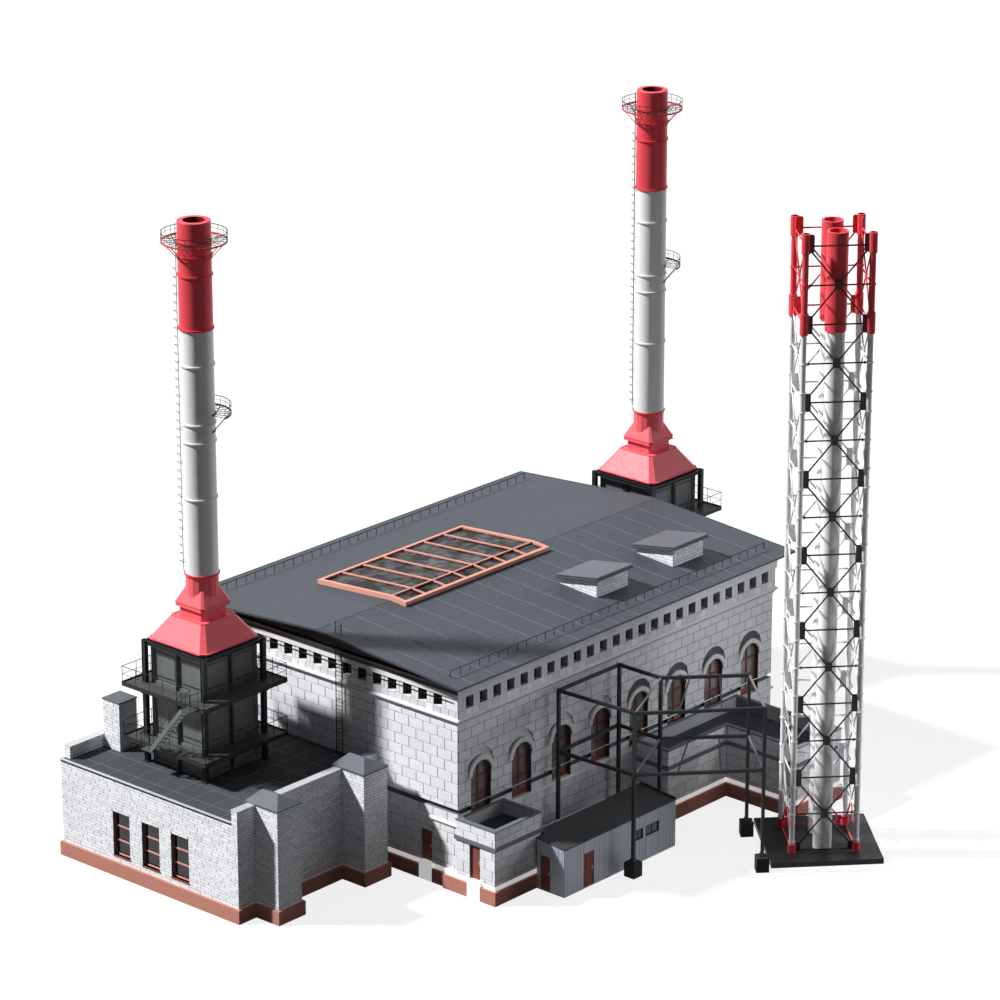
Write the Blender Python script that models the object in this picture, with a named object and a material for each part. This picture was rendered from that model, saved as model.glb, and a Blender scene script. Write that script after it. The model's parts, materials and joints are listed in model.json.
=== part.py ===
"""Boiler house, modelled at a scale of 1 to 2.

The frame: the origin is the near outside corner of the hall's walls at ground
level, +X runs along the hall's arcaded front, +Y along its gable, +Z is up.
Every size below is a model size in metres, half of the real one.
"""
import math

import bmesh
import bpy
from mathutils import Matrix, Vector

# ---------------------------------------------------------------- clearances
GAP = 0.0003            # between pieces that rest on or against each other
DOOR_GAP = 0.006        # round a door leaf

# ---------------------------------------------------------------- base
PLINTH_H = 0.465
PLINTH_OUT = 0.085
SLAB_T = 0.16
STEP_SIDE = 0.06        # doorstep beyond the doorway on each side

# ---------------------------------------------------------------- hall
HALL_L = 15.56
HALL_W = 11.2
WALL_T = 0.30
GROOVE_Z = 2.55
GROOVE_H = 0.15
GROOVE_D = 0.15
STRING_Z = 5.516        # moulded string course below the slots
STRING_H = 0.264
STRING_OUT = 0.12
FRIEZE_OUT = 0.05
HEAD_Z = 6.44           # fillet over the slots
HEAD_H = 0.04
HEAD_OUT = 0.09
COVE_H = 0.36           # coved cornice under the roof
COVE_OUT = 0.19
EAVE_Z = 6.99
RIDGE_Z = 7.43
ROOF_T = 0.06
OVERHANG = 0.485
OVERHANG_EAST = 0.58

WINDOW_COUNT = 8
WINDOW_FIRST = 1.057
WINDOW_PITCH = 1.906
WINDOW_W = 0.90
WINDOW_SILL = 2.25
WINDOW_SPRING = 3.64
ARCH_STEPS = 8
ARCH_RING = 0.155
ARCH_OUT = 0.05
CRESCENT_RISE = 0.28    # sunk crescent over each arch ring
CRESCENT_D = 0.06

SLOT_W = 0.35
SLOT_Z = 6.01
SLOT_H = 0.42
FRONT_SLOTS = 24
FRONT_SLOT_EDGE = 0.32
GABLE_SLOTS = 16
GABLE_SLOT_EDGE = 0.60

GLASS_T = 0.03
GLASS_LAP = 0.12        # glass sheet beyond the holes that it closes

# skylight over the ridge
SKY_X0 = 2.95
SKY_X1 = 9.90
SKY_Y0 = 4.90
SKY_Y1 = 8.80
SKY_BAYS = 7
SKY_CURB = 0.16
SKY_BAR = 0.09
SKY_H = 0.15

# brick vent housings on the front slope
VENT_L = 1.42
VENT_W = 1.50
VENT_H = 0.42
VENT_Y = 1.10
VENT_X_NEAR = 7.84
VENT_X_FAR = 11.66
VENT_CAP_T = 0.11
VENT_CAP_OUT = 0.12

# eave guards
GUARD_IN = 0.30
GUARD_H = 0.25
GUARD_BAR = 0.022
GUARD_POSTS = 9
GUARD_END = 0.12

# gable ladder
LADDER_Y = 4.95
LADDER_W = 0.34
LADDER_BAR = 0.03
LADDER_TOP = 7.75
LADDER_STEP = 0.30

# ---------------------------------------------------------------- porch
PORCH_X0 = -0.085
PORCH_X1 = 2.05
PORCH_Y = -1.61
LOW_WALL_T = 0.20
LOW_WALL_TOP = 1.80
LOW_ROOF_Z = 2.05
LOW_PARAPET_Z = 2.475
LOW_PARAPET_T = 0.14
CORNICE_H = 0.12
CORNICE_OUT = 0.05
COPING_H = 0.035
COPING_OUT = 0.025

# ---------------------------------------------------------------- wing
WING_X0 = 8.45
WING_X1 = 11.435
WING_X2 = 13.70
WING_Y1 = -1.45
WING_Y2 = -4.40

# ---------------------------------------------------------------- shed
SHED_X0 = 1.77
SHED_X1 = 7.16
SHED_Y0 = -2.84
SHED_Y1 = -1.40
SHED_T = 0.06
SHED_FLOOR_T = 0.03
SHED_HEAD = 1.175
SHED_FRONT_Z = 1.62
SHED_BACK_Z = 1.76
SHED_ROOF_T = 0.05
SHED_WINDOW_Z = 0.80
SHED_WINDOW_H = 0.36
SHED_WINDOWS = ((5.15, 5.55), (5.69, 6.335))

# ---------------------------------------------------------------- annexes
ANNEX_TOP = 3.05
ANNEX_ROOF_T = 0.23
ANNEX_T = 0.25
ANNEX_PARAPET_Z = 3.70
WEST_X = -6.275
WEST_Y = 3.37
EAST_X = 20.25
EAST_Y = 4.30
ANNEX_WINDOWS = ((5.525, 6.29), (6.825, 7.585), (8.15, 8.885))
ANNEX_SILL = 0.70
ANNEX_HEAD = 2.165
BUTTRESS_Y = 2.395
BUTTRESSES = ((-5.525, -4.52), (-1.695, -0.655))
BUTTRESS_TOP = 3.735
BUTTRESS_RIDGE = 4.05
BUTTRESS_BACK = 3.72
BACK_RAISED = (-6.10, -4.15)
STACK_X0 = -4.65
STACK_X1 = -3.90
STACK_Y0 = 10.20
STACK_TOP = 4.95
STACK_CAP_T = 0.10
STACK_CAP_OUT = 0.05

# ---------------------------------------------------------------- boiler units
UNIT_Y = 7.755
UNIT_WEST_X = -3.25
UNIT_EAST_X = 18.345
CASING_HALF = 1.165
CASING_TOP = 7.425
CASING_PANEL = 0.05
CASING_RIB = 0.12
COLUMN_AT = 1.30
COLUMN_W = 0.15
COLUMN_TOP = 7.38
TOP_BEAM_H = 0.14
DECK_HALF = 1.825
DECK_T = 0.05
DECK_LOW_Z = 4.15
DECK_HIGH_Z = 5.95
RAIL_H = 0.55
RAIL_BAR = 0.025
RAIL_POSTS = 2
STAIR_W = 0.36
STAIR_TREADS = 8
STAIR_Y0 = 1.05
STAIR_Y1 = -0.45
HOOD_HALF = 1.265
HOOD_LEDGE_Z = 8.19
HOOD_LEDGE_HALF = 0.7325
HOOD_NECK_HALF = 0.54
HOOD_FLANGE_Z = 8.525
HOOD_FLANGE_T = 0.125
HOOD_FLANGE_HALF = 0.6325
HOOD_CONE_Z = 9.175
HOOD_CONE_HALF = 0.365
HOOD_CHAMFER = 0.17
CHIMNEY_R = 0.5225
CHIMNEY_BORE = 0.35
CHIMNEY_Z = 9.56
CHIMNEY_TOP = 20.915
CHIMNEY_SIDES = 16
FLANGE_T = 0.05
FLANGE_OUT = 0.04
FLANGE_LEVELS = (12.105, 13.94, 14.525, 16.395, 17.55, 19.245, 19.865)
GALLERY_Z = 20.02
GALLERY_R = 1.0275
GALLERY_T = 0.035
GALLERY_RAIL_H = 0.50
GALLERY_BAR = 0.022
HALF_DECK_Z = 14.80
BAND_T = 0.03
BAND_H = 0.05
CLIMB_OUT = 0.11
CLIMB_W = 0.24
CLIMB_STEP = 1.00
CLIMB_BAR = 0.022

# ---------------------------------------------------------------- trestle
POST_W = 0.11
BEAM_W = 0.13
TIE_W = 0.045
TIE_H = 0.09
BEAM_LOW_Z = 3.425
BEAM_HIGH_Z = 5.50
FOOTING_W = 0.50
FOOTING_H = 0.50
SMALL_FOOTING_W = 0.19
TRESTLE_A = (4.35, -0.33)
TRESTLE_B = (7.30, -0.33)
TRESTLE_C = (4.475, -3.35)
TRESTLE_D = (7.30, -2.05)
TRESTLE_E = (0.898, 0.38)       # across the tower, and clear of its base
TRESTLE_F = (-0.107, 0.318)     # clear of the base's corner both ways

# ---------------------------------------------------------------- lattice tower
TOWER_AT = (10.35, -6.125)
TOWER_TURN = math.radians(47.5)
TOWER_HALF = 1.032
TOWER_BASE_HALF = 1.80
TOWER_BASE_H = 0.175
TOWER_FIRST_Z = 0.24
TOWER_BAY = 2.4875
TOWER_BAYS = 8
TOWER_TOP = 20.535
LEG_R = 0.09
LEG_SLEEVE_R = 0.135
LEG_FOOT_Z = 0.75
LEG_RED_Z = 17.35
LEG_SIDES = 8
BRACE_W = 0.055
BRACE_T = 0.045
GUSSET_W = 0.15
GUSSET_H = 0.56
FLUE_R = 0.30
FLUE_RED_R = 0.335
FLUE_WALL = 0.035
FLUE_TOP = 20.50
FLUE_SIDES = 16
FLUES = ((-0.64, -0.012), (0.60, -0.064))

# ---------------------------------------------------------------- doors
LEAF_T = 0.035
LEAF_IN = 0.06          # leaf behind the wall's face
HINGE_R = 0.0057
HINGE_H = 0.06
SIDE_DOOR = (1.11, 1.535, 1.68)         # along the gable, and its head
PORCH_DOOR = (-0.985, -0.57)
WING_DOOR = (12.05, 12.50)
SHED_DOOR = (2.69, 3.17)
SHED_END_DOOR = (-2.25, -1.85)

# ---------------------------------------------------------------- derived
FLOOR = PLINTH_H + SLAB_T
HOOD_Z = CASING_TOP + GAP
SHED_NOTCH_X = PORCH_X1 + PLINTH_OUT + GAP
SHED_NOTCH_Y = PORCH_Y - PLINTH_OUT - GAP
ROOF_SLOPE = (RIDGE_Z - EAVE_Z) / (HALL_W / 2 + OVERHANG)
ANNEX_ROOF_Z = ANNEX_TOP + ANNEX_ROOF_T
BEYOND = 1.0            # reach of a cutter past the piece that it cuts


def roof_top(y):
    """Height of the hall roof's upper face over a line at y."""
    return RIDGE_Z - abs(y - HALL_W / 2) * ROOF_SLOPE


def roof_under(y):
    return roof_top(y) - ROOF_T


# ---------------------------------------------------------------- tools
for old in list(bpy.data.objects):
    bpy.data.objects.remove(old, do_unlink=True)


def material(name, colour, roughness, metallic=0.0):
    made = bpy.data.materials.new(name)
    made.use_nodes = True
    shader = made.node_tree.nodes["Principled BSDF"]
    shader.inputs["Base Color"].default_value = (*colour, 1.0)
    shader.inputs["Roughness"].default_value = roughness
    shader.inputs["Metallic"].default_value = metallic
    made.diffuse_color = (*colour, 1.0)
    return made


PUT = {
    "X": lambda a, b, c: (c, a, b),
    "Y": lambda a, b, c: (a, c, b),
    "Z": lambda a, b, c: (a, b, c),
}


def loft(rings, closed_ends=True):
    """Closed skin through rings of equal length, capped at both ends."""
    bm = bmesh.new()
    rows = [[bm.verts.new(point) for point in ring] for ring in rings]
    count = len(rows[0])
    for low, high in zip(rows, rows[1:]):
        for i in range(count):
            j = (i + 1) % count
            bm.faces.new((low[i], low[j], high[j], high[i]))
    if closed_ends:
        bm.faces.new(list(reversed(rows[0])))
        bm.faces.new(rows[-1])
    else:
        for i in range(count):
            j = (i + 1) % count
            bm.faces.new((rows[-1][i], rows[-1][j], rows[0][j], rows[0][i]))
    bmesh.ops.recalc_face_normals(bm, faces=bm.faces)
    mesh = bpy.data.meshes.new("shape")
    bm.to_mesh(mesh)
    bm.free()
    return mesh


def prism(outline, axis, low, high):
    """Outline in the two other directions, extruded along an axis."""
    put = PUT[axis]
    return loft([[put(a, b, c) for a, b in outline] for c in (low, high)])


def box(x0, x1, y0, y1, z0, z1):
    return prism(((x0, y0), (x1, y0), (x1, y1), (x0, y1)), "Z", z0, z1)


def circle(centre, radius, z, sides, phase=0.5):
    return [
        (
            centre[0] + radius * math.cos(math.tau * (i + phase) / sides),
            centre[1] + radius * math.sin(math.tau * (i + phase) / sides),
            z,
        )
        for i in range(sides)
    ]


def turned(profile, sides, centre=(0.0, 0.0), hollow=False):
    """Profile of (radius, height) turned about an upright axis."""
    return loft([circle(centre, r, z, sides) for r, z in profile], not hollow)


def bar(start, end, width, depth=None):
    """Square-ended bar of a rectangular section."""
    start, end = Vector(start), Vector(end)
    along = (end - start).normalized()
    up = Vector((0, 0, 1))
    if abs(along.z) > 0.99:
        up = Vector((0, 1, 0))
    side = along.cross(up).normalized() * width / 2
    top = side.cross(along).normalized() * (depth or width) / 2
    corners = (side + top, side - top, -side - top, top - side)
    return loft([[tuple(p + c) for c in corners] for p in (start, end)])


def strip(path, thickness):
    """Outline of a wall along a path of square turns; it lies to the left."""
    points = [Vector(p) for p in path]
    normals = []
    for a, b in zip(points, points[1:]):
        along = (b - a).normalized()
        normals.append(Vector((-along.y, along.x)))
    inner = []
    for i, point in enumerate(points):
        if i == 0:
            inner.append(point + normals[0] * thickness)
        elif i == len(points) - 1:
            inner.append(point + normals[-1] * thickness)
        else:
            inner.append(point + (normals[i - 1] + normals[i]) * thickness)
    return [tuple(p) for p in points] + [tuple(p) for p in reversed(inner)]


def run(section, start, end, mitre_start=False, mitre_end=False):
    """Sweep a section of (outward, height) from start to end, inside to the left."""
    start, end = Vector(start), Vector(end)
    along = (end - start).normalized()
    outward = Vector((along.y, -along.x))
    rings = []
    for point, sign, mitre in ((start, -1, mitre_start), (end, 1, mitre_end)):
        ring = []
        for out, z in section:
            reach = sign * (out - GAP) if mitre else 0.0
            spot = point + outward * out + along * reach
            ring.append((spot.x, spot.y, z))
        rings.append(ring)
    return loft(rings)


def combined(base, operation, meshes):
    """One Boolean of a base mesh with a group of others."""
    scene = bpy.context.scene
    body = bpy.data.objects.new("base", base)
    scene.collection.objects.link(body)
    group = bpy.data.collections.new("group")
    scene.collection.children.link(group)
    for mesh in meshes:
        tool = bpy.data.objects.new("tool", mesh)
        tool.hide_render = True
        tool.display_type = "WIRE"
        group.objects.link(tool)
    modifier = body.modifiers.new("Boolean", "BOOLEAN")
    modifier.operation = operation
    modifier.solver = "EXACT"
    modifier.operand_type = "COLLECTION"
    modifier.collection = group
    view = bpy.context.evaluated_depsgraph_get()
    result = bpy.data.meshes.new_from_object(body.evaluated_get(view))
    for tool in list(group.objects):
        bpy.data.objects.remove(tool, do_unlink=True)
    bpy.data.collections.remove(group)
    bpy.data.objects.remove(body, do_unlink=True)
    bm = bmesh.new()
    bm.from_mesh(result)
    bmesh.ops.dissolve_limit(
        bm, angle_limit=math.radians(0.05), verts=bm.verts, edges=bm.edges
    )
    bm.to_mesh(result)
    bm.free()
    return result


def fused(adds, cuts=()):
    mesh = adds[0]
    if len(adds) > 1:
        mesh = combined(mesh, "UNION", adds[1:])
    if cuts:
        mesh = combined(mesh, "DIFFERENCE", list(cuts))
    return mesh


def solid(name, surface, mesh, parent=None, at=(0.0, 0.0, 0.0)):
    made = bpy.data.objects.new(name, mesh)
    bpy.context.scene.collection.objects.link(made)
    made.data.materials.clear()
    made.data.materials.append(surface)
    made.location = at
    made.parent = parent
    return made


def empty(name, at, turn=0.0):
    made = bpy.data.objects.new(name, None)
    bpy.context.scene.collection.objects.link(made)
    made.location = at
    made.rotation_euler = (0.0, 0.0, turn)
    return made


ASHLAR = material("ashlar", (0.80, 0.81, 0.83), 0.85)
TERRACOTTA = material("terracotta", (0.52, 0.20, 0.15), 0.80)
CONCRETE = material("pale_concrete", (0.86, 0.86, 0.85), 0.85)
SHEET_ROOF = material("grey_sheet_roof", (0.13, 0.15, 0.17), 0.55, 0.2)
FLAT_ROOF = material("flat_roof_felt", (0.05, 0.055, 0.06), 0.85)
BRICK = material("pale_brick", (0.82, 0.83, 0.85), 0.85)
SALMON = material("salmon_frame", (0.70, 0.30, 0.24), 0.50)
GLASS = material("dark_glass", (0.03, 0.035, 0.045), 0.10)
STEEL = material("dark_steel", (0.06, 0.07, 0.075), 0.45, 0.6)
CASING = material("grey_casing", (0.16, 0.18, 0.20), 0.50, 0.3)
RED = material("red_paint", (0.70, 0.04, 0.07), 0.40)
WHITE = material("white_paint", (0.72, 0.74, 0.75), 0.35)
TUBE = material("silver_white", (0.68, 0.70, 0.72), 0.35, 0.3)
CLADDING = material("blue_grey_cladding", (0.23, 0.25, 0.30), 0.50, 0.3)
DOOR = material("brown_door", (0.28, 0.10, 0.07), 0.60)


# ---------------------------------------------------------------- base
def footprints(out, low, high):
    """The buildings' plans, grown outward, as one fused slab."""
    join = 0.5
    rects = [
        (-out, HALL_L + out, -out, HALL_W + out),
        (PORCH_X0 - out, PORCH_X1 + out, PORCH_Y - out, join),
        (WING_X0 - out, WING_X2 + out, WING_Y1 - out, join),
        (WING_X1 - out, WING_X2 + out, WING_Y2 - out, join),
        (WEST_X - out, join, WEST_Y - out, HALL_W + out),
        (HALL_L - join, EAST_X + out, EAST_Y - out, HALL_W + out),
    ]
    for x0, x1 in BUTTRESSES:
        rects.append((x0 - out, x1 + out, BUTTRESS_Y - out, WEST_Y + join))
    return fused([box(*rect, low, high) for rect in rects])


def doorsteps(side, low, high):
    """A block in front of each raised doorway."""
    back = 0.25
    return [
        box(
            -PLINTH_OUT - side, back,
            SIDE_DOOR[0] - STEP_SIDE - side, SIDE_DOOR[1] + STEP_SIDE + side, low, high,
        ),
        box(
            PORCH_X0 - PLINTH_OUT - side, PORCH_X0 + back,
            PORCH_DOOR[0] - STEP_SIDE - side, PORCH_DOOR[1] + STEP_SIDE + side, low, high,
        ),
        box(
            WING_DOOR[0] - STEP_SIDE - side, WING_DOOR[1] + STEP_SIDE + side,
            WING_Y2 - PLINTH_OUT - side, WING_Y2 + back, low, high,
        ),
    ]


plinth = fused([footprints(PLINTH_OUT, 0.0, PLINTH_H)], doorsteps(GAP, -BEYOND, BEYOND))
solid("plinth", TERRACOTTA, plinth)
slab = fused([footprints(0.0, PLINTH_H + GAP, FLOOR)] + doorsteps(0.0, 0.0, FLOOR))
solid("ground_slab", CONCRETE, slab)


# ---------------------------------------------------------------- hall walls
def above_roof():
    """Everything above the underside of the hall roof."""
    reach = 3.0
    outline = (
        (-reach, roof_under(-reach) - GAP),
        (HALL_W / 2, roof_under(HALL_W / 2) - GAP),
        (HALL_W + reach, roof_under(HALL_W + reach) - GAP),
        (HALL_W + reach, RIDGE_Z + reach),
        (-reach, RIDGE_Z + reach),
    )
    return prism(outline, "X", -reach, HALL_L + reach)


def hall_section(bottom):
    """Wall profile with the groove, the string course and the coved cornice."""
    return [
        (0.0, bottom),
        (0.0, GROOVE_Z),
        (-GROOVE_D, GROOVE_Z),
        (-GROOVE_D, GROOVE_Z + GROOVE_H),
        (0.0, GROOVE_Z + GROOVE_H),
        (0.0, STRING_Z),
        (STRING_OUT * 0.3, STRING_Z + STRING_H * 0.32),
        (STRING_OUT, STRING_Z + STRING_H * 0.66),
        (STRING_OUT, STRING_Z + STRING_H * 0.85),
        (FRIEZE_OUT, STRING_Z + STRING_H),
        (FRIEZE_OUT, HEAD_Z),
        (HEAD_OUT, HEAD_Z),
        (HEAD_OUT, HEAD_Z + HEAD_H),
        (FRIEZE_OUT + COVE_OUT * 0.08, HEAD_Z + HEAD_H),
        (COVE_OUT * 0.53, HEAD_Z + HEAD_H + COVE_H * 0.53),
        (COVE_OUT, HEAD_Z + HEAD_H + COVE_H),
        (COVE_OUT, RIDGE_Z),
        (-WALL_T, RIDGE_Z),
        (-WALL_T, bottom),
    ]


def plain_section(bottom, top, thickness):
    return [(0.0, bottom), (0.0, top), (-thickness, top), (-thickness, bottom)]


def arc(centre, radius):
    return [
        (
            centre - radius * math.cos(math.pi * i / ARCH_STEPS),
            WINDOW_SPRING + radius * math.sin(math.pi * i / ARCH_STEPS),
        )
        for i in range(ARCH_STEPS + 1)
    ]


def crescent(centre):
    """Sunk crescent between the arch ring and the same circle set higher."""
    radius = WINDOW_W / 2 + ARCH_RING
    step = math.pi / ARCH_STEPS
    lift = WINDOW_SPRING + CRESCENT_RISE
    outline = []
    for i in range(ARCH_STEPS + 1):
        turn = -step * 0.45 + (math.pi + step * 0.9) * i / ARCH_STEPS
        outline.append((centre + radius * math.cos(turn), lift + radius * math.sin(turn)))
    inner = radius + GAP * 8
    ring = [
        (centre + inner * math.cos(step * i), WINDOW_SPRING + inner * math.sin(step * i))
        for i in range(ARCH_STEPS, -1, -1)
    ]
    first, last = Vector(ring[0]), Vector(ring[-1])
    ring[0] = tuple(first.lerp(Vector(ring[1]), 0.75))
    ring[-1] = tuple(last.lerp(Vector(ring[-2]), 0.75))
    return outline + ring


def window_centres():
    return [WINDOW_FIRST + WINDOW_PITCH * i for i in range(WINDOW_COUNT)]


def slot_starts(count, edge, length):
    pitch = (length - 2 * edge - SLOT_W) / (count - 1)
    return [edge + pitch * i for i in range(count)]


def long_wall(start, end, face, sign):
    """Front or back wall: arched windows below, slots above."""
    adds = [run(hall_section(FLOOR + GAP), start, end, True, True)]
    cuts = [above_roof()]
    lows = sorted((face - sign * WALL_T * 2, face + sign * 0.5))
    bands = sorted((face - sign * ARCH_OUT, face + sign * ARCH_OUT))
    sunk = sorted((face - sign * CRESCENT_D, face + sign * GAP))
    for centre in window_centres():
        adds.append(prism(arc(centre, WINDOW_W / 2 + ARCH_RING), "Y", *bands))
        outline = [(centre - WINDOW_W / 2, WINDOW_SILL)]
        outline += arc(centre, WINDOW_W / 2)
        outline.append((centre + WINDOW_W / 2, WINDOW_SILL))
        cuts.append(prism(outline, "Y", *lows))
        cuts.append(prism(crescent(centre), "Y", *sunk))
    for x in slot_starts(FRONT_SLOTS, FRONT_SLOT_EDGE, HALL_L):
        cuts.append(box(x, x + SLOT_W, *lows, SLOT_Z, SLOT_Z + SLOT_H))
    return fused(adds, cuts)


def gable_wall(start, end, face, sign, bottom):
    adds = [run(hall_section(bottom), start, end, True, True)]
    cuts = [above_roof()]
    lows = sorted((face - sign * WALL_T * 2, face + sign * 0.5))
    for y in slot_starts(GABLE_SLOTS, GABLE_SLOT_EDGE, HALL_W):
        cuts.append(box(*lows, y, y + SLOT_W, SLOT_Z, SLOT_Z + SLOT_H))
    return fused(adds, cuts)


solid("hall_front_wall", ASHLAR, long_wall((0, 0), (HALL_L, 0), 0.0, -1))
solid("hall_back_wall", ASHLAR, long_wall((HALL_L, HALL_W), (0, HALL_W), HALL_W, 1))
solid(
    "hall_east_gable", ASHLAR,
    gable_wall((HALL_L, 0), (HALL_L, HALL_W), HALL_L, 1, FLOOR + GAP),
)
solid(
    "hall_west_gable", ASHLAR,
    gable_wall((0, HALL_W), (0, 0), 0.0, -1, SIDE_DOOR[2] + GAP),
)
base_section = plain_section(FLOOR + GAP, SIDE_DOOR[2], WALL_T)
solid(
    "hall_west_base_south", ASHLAR,
    run(base_section, (0, SIDE_DOOR[0]), (0, 0), False, True),
)
solid(
    "hall_west_base_north", ASHLAR,
    run(base_section, (0, HALL_W), (0, SIDE_DOOR[1]), True, False),
)


# ---------------------------------------------------------------- hall glass
def ring_wall(x0, x1, y0, y1, thickness, low, high):
    outer = box(x0, x1, y0, y1, low, high)
    inner = box(
        x0 + thickness, x1 - thickness, y0 + thickness, y1 - thickness,
        low - BEYOND, high + BEYOND,
    )
    return fused([outer], [inner])


def window_glass(face, sign):
    inset = (WALL_T + GAP) * sign
    near, far = sorted((face - inset, face - inset - sign * GLASS_T))
    reach = WINDOW_W / 2 + GLASS_LAP
    centres = window_centres()
    return box(
        centres[0] - reach, centres[-1] + reach, near, far,
        WINDOW_SILL - GLASS_LAP, WINDOW_SPRING + reach,
    )


solid("hall_front_glass", GLASS, window_glass(0.0, -1))
solid("hall_back_glass", GLASS, window_glass(HALL_W, 1))
inside = WALL_T + GAP
solid(
    "hall_slot_glass", GLASS,
    ring_wall(
        inside, HALL_L - inside, inside, HALL_W - inside, GLASS_T,
        SLOT_Z - GLASS_LAP, SLOT_Z + SLOT_H + GLASS_LAP,
    ),
)


# ---------------------------------------------------------------- hall roof
def slope_band(y0, y1, low, high):
    """Outline over the ridge between two offsets from the roof's upper face."""
    ridge = HALL_W / 2
    return [
        (y0, roof_top(y0) + low), (ridge, roof_top(ridge) + low), (y1, roof_top(y1) + low),
        (y1, roof_top(y1) + high), (ridge, roof_top(ridge) + high), (y0, roof_top(y0) + high),
    ]


def roof_mesh():
    outline = slope_band(-OVERHANG, HALL_W + OVERHANG, -ROOF_T, 0.0)
    sheet = prism(outline, "X", -OVERHANG, HALL_L + OVERHANG_EAST)
    hole = box(
        SKY_X0 + SKY_CURB, SKY_X1 - SKY_CURB, SKY_Y0 + SKY_CURB, SKY_Y1 - SKY_CURB,
        EAVE_Z - BEYOND, RIDGE_Z + BEYOND,
    )
    return fused([sheet], [hole])


solid("hall_roof", SHEET_ROOF, roof_mesh())

frame = prism(slope_band(SKY_Y0, SKY_Y1, GAP, SKY_H), "X", SKY_X0, SKY_X1)
bay = (SKY_X1 - SKY_X0 - 2 * SKY_CURB + SKY_BAR) / SKY_BAYS
panes = []
for i in range(SKY_BAYS):
    left = SKY_X0 + SKY_CURB + bay * i
    for y0, y1 in (
        (SKY_Y0 + SKY_CURB, HALL_W / 2 - SKY_BAR / 2),
        (HALL_W / 2 + SKY_BAR / 2, SKY_Y1 - SKY_CURB),
    ):
        panes.append(box(left, left + bay - SKY_BAR, y0, y1, EAVE_Z - BEYOND, RIDGE_Z + BEYOND))
solid("skylight_frame", SALMON, fused([frame], panes))
inset = SKY_CURB + GAP
solid(
    "skylight_glass", GLASS,
    prism(
        slope_band(SKY_Y0 + inset, SKY_Y1 - inset, -GLASS_T, 0.0),
        "X", SKY_X0 + inset, SKY_X1 - inset,
    ),
)


# ---------------------------------------------------------------- vent housings
def vent_mesh():
    """Wedge of brickwork under a lean-to cap, seated on the front slope."""
    y0, y1 = VENT_Y, VENT_Y + VENT_W
    high = roof_top(y0) + VENT_H
    low = roof_top(y1) + GAP
    body = prism(
        ((y0, roof_top(y0) + GAP), (y1, low), (y1, low + 0.02), (y0, high)),
        "X", 0.0, VENT_L,
    )
    fall = (low + 0.02 - high) / VENT_W
    cap_y0, cap_y1 = y0 - VENT_CAP_OUT, y1 + VENT_CAP_OUT
    base0 = high + fall * (cap_y0 - y0)
    base1 = roof_top(cap_y1) + GAP
    cap = prism(
        (
            (cap_y0, base0), (y1, low + 0.001), (cap_y1, base1),
            (cap_y1, high + fall * (cap_y1 - y0) + VENT_CAP_T),
            (cap_y0, base0 + VENT_CAP_T),
        ),
        "X", -VENT_CAP_OUT, VENT_L + VENT_CAP_OUT,
    )
    return fused([body, cap])


vent = vent_mesh()
solid("roof_vent_near", BRICK, vent, at=(VENT_X_NEAR, 0.0, 0.0))
solid("roof_vent_far", BRICK, vent, at=(VENT_X_FAR, 0.0, 0.0))


# ---------------------------------------------------------------- eave guards
def guard_mesh(y):
    base = roof_top(y) + GAP
    half = GUARD_BAR / 2
    x0, x1 = GUARD_END, HALL_L - GUARD_END
    foot = base + abs(ROOF_SLOPE) * half
    adds = []
    for level in (GUARD_H / 2, GUARD_H):
        adds.append(bar((x0, y, base + level), (x1, y, base + level), GUARD_BAR))
    pitch = (x1 - x0 - 2 * half) / (GUARD_POSTS - 1)
    for i in range(GUARD_POSTS):
        x = x0 + half + pitch * i
        adds.append(box(x - half * 0.8, x + half * 0.8, y - half * 0.8, y + half * 0.8,
                        foot, base + GUARD_H + half * 0.5))
    return fused(adds)


solid("eave_guard_front", STEEL, guard_mesh(GUARD_IN))
solid("eave_guard_back", STEEL, guard_mesh(HALL_W - GUARD_IN))


# ---------------------------------------------------------------- gable ladder
def gable_ladder_mesh():
    x = -OVERHANG - 0.08
    low = ANNEX_ROOF_Z + GAP
    adds = []
    for side in (-1, 1):
        y = LADDER_Y + side * LADDER_W / 2
        adds.append(bar((x, y, low), (x, y, LADDER_TOP), LADDER_BAR))
        for z in (4.1, 5.3, 6.2):
            face = -GAP - (FRIEZE_OUT if z > STRING_Z else 0.0)
            adds.append(bar((x, y, z), (face, y, z), LADDER_BAR * 0.8))
        adds.append(bar((x, y, LADDER_TOP - 0.02), (0.1, y, LADDER_TOP - 0.02), LADDER_BAR * 0.9))
    steps = int((LADDER_TOP - low - 0.2) / LADDER_STEP)
    for i in range(steps):
        z = low + 0.2 + LADDER_STEP * i
        adds.append(
            bar((x, LADDER_Y - LADDER_W / 2, z), (x, LADDER_Y + LADDER_W / 2, z), LADDER_BAR * 0.7)
        )
    return fused(adds)


solid("gable_ladder", STEEL, gable_ladder_mesh())


# ---------------------------------------------------------------- porch and wing
def low_walls(path):
    return prism(strip(path, LOW_WALL_T), "Z", FLOOR + GAP, LOW_WALL_TOP)


def tray(rects, pockets):
    """Flat roof with a cornice, a parapet and a coping."""
    back = -GAP
    adds = []
    for x0, x1, y0 in rects:
        adds.append(box(x0, x1, y0, back, LOW_WALL_TOP + GAP, LOW_PARAPET_Z))
    for out, low, high in (
        (CORNICE_OUT, LOW_WALL_TOP + GAP, LOW_WALL_TOP + CORNICE_H),
        (COPING_OUT, LOW_PARAPET_Z - COPING_H, LOW_PARAPET_Z),
    ):
        for x0, x1, y0 in rects:
            adds.append(box(x0 - out, x1 + out, y0 - out, back, low, high))
    cuts = [
        box(x0, x1, y0, back - LOW_PARAPET_T, LOW_ROOF_Z, LOW_PARAPET_Z + BEYOND)
        for x0, x1, y0 in pockets
    ]
    return fused(adds, cuts)


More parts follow.
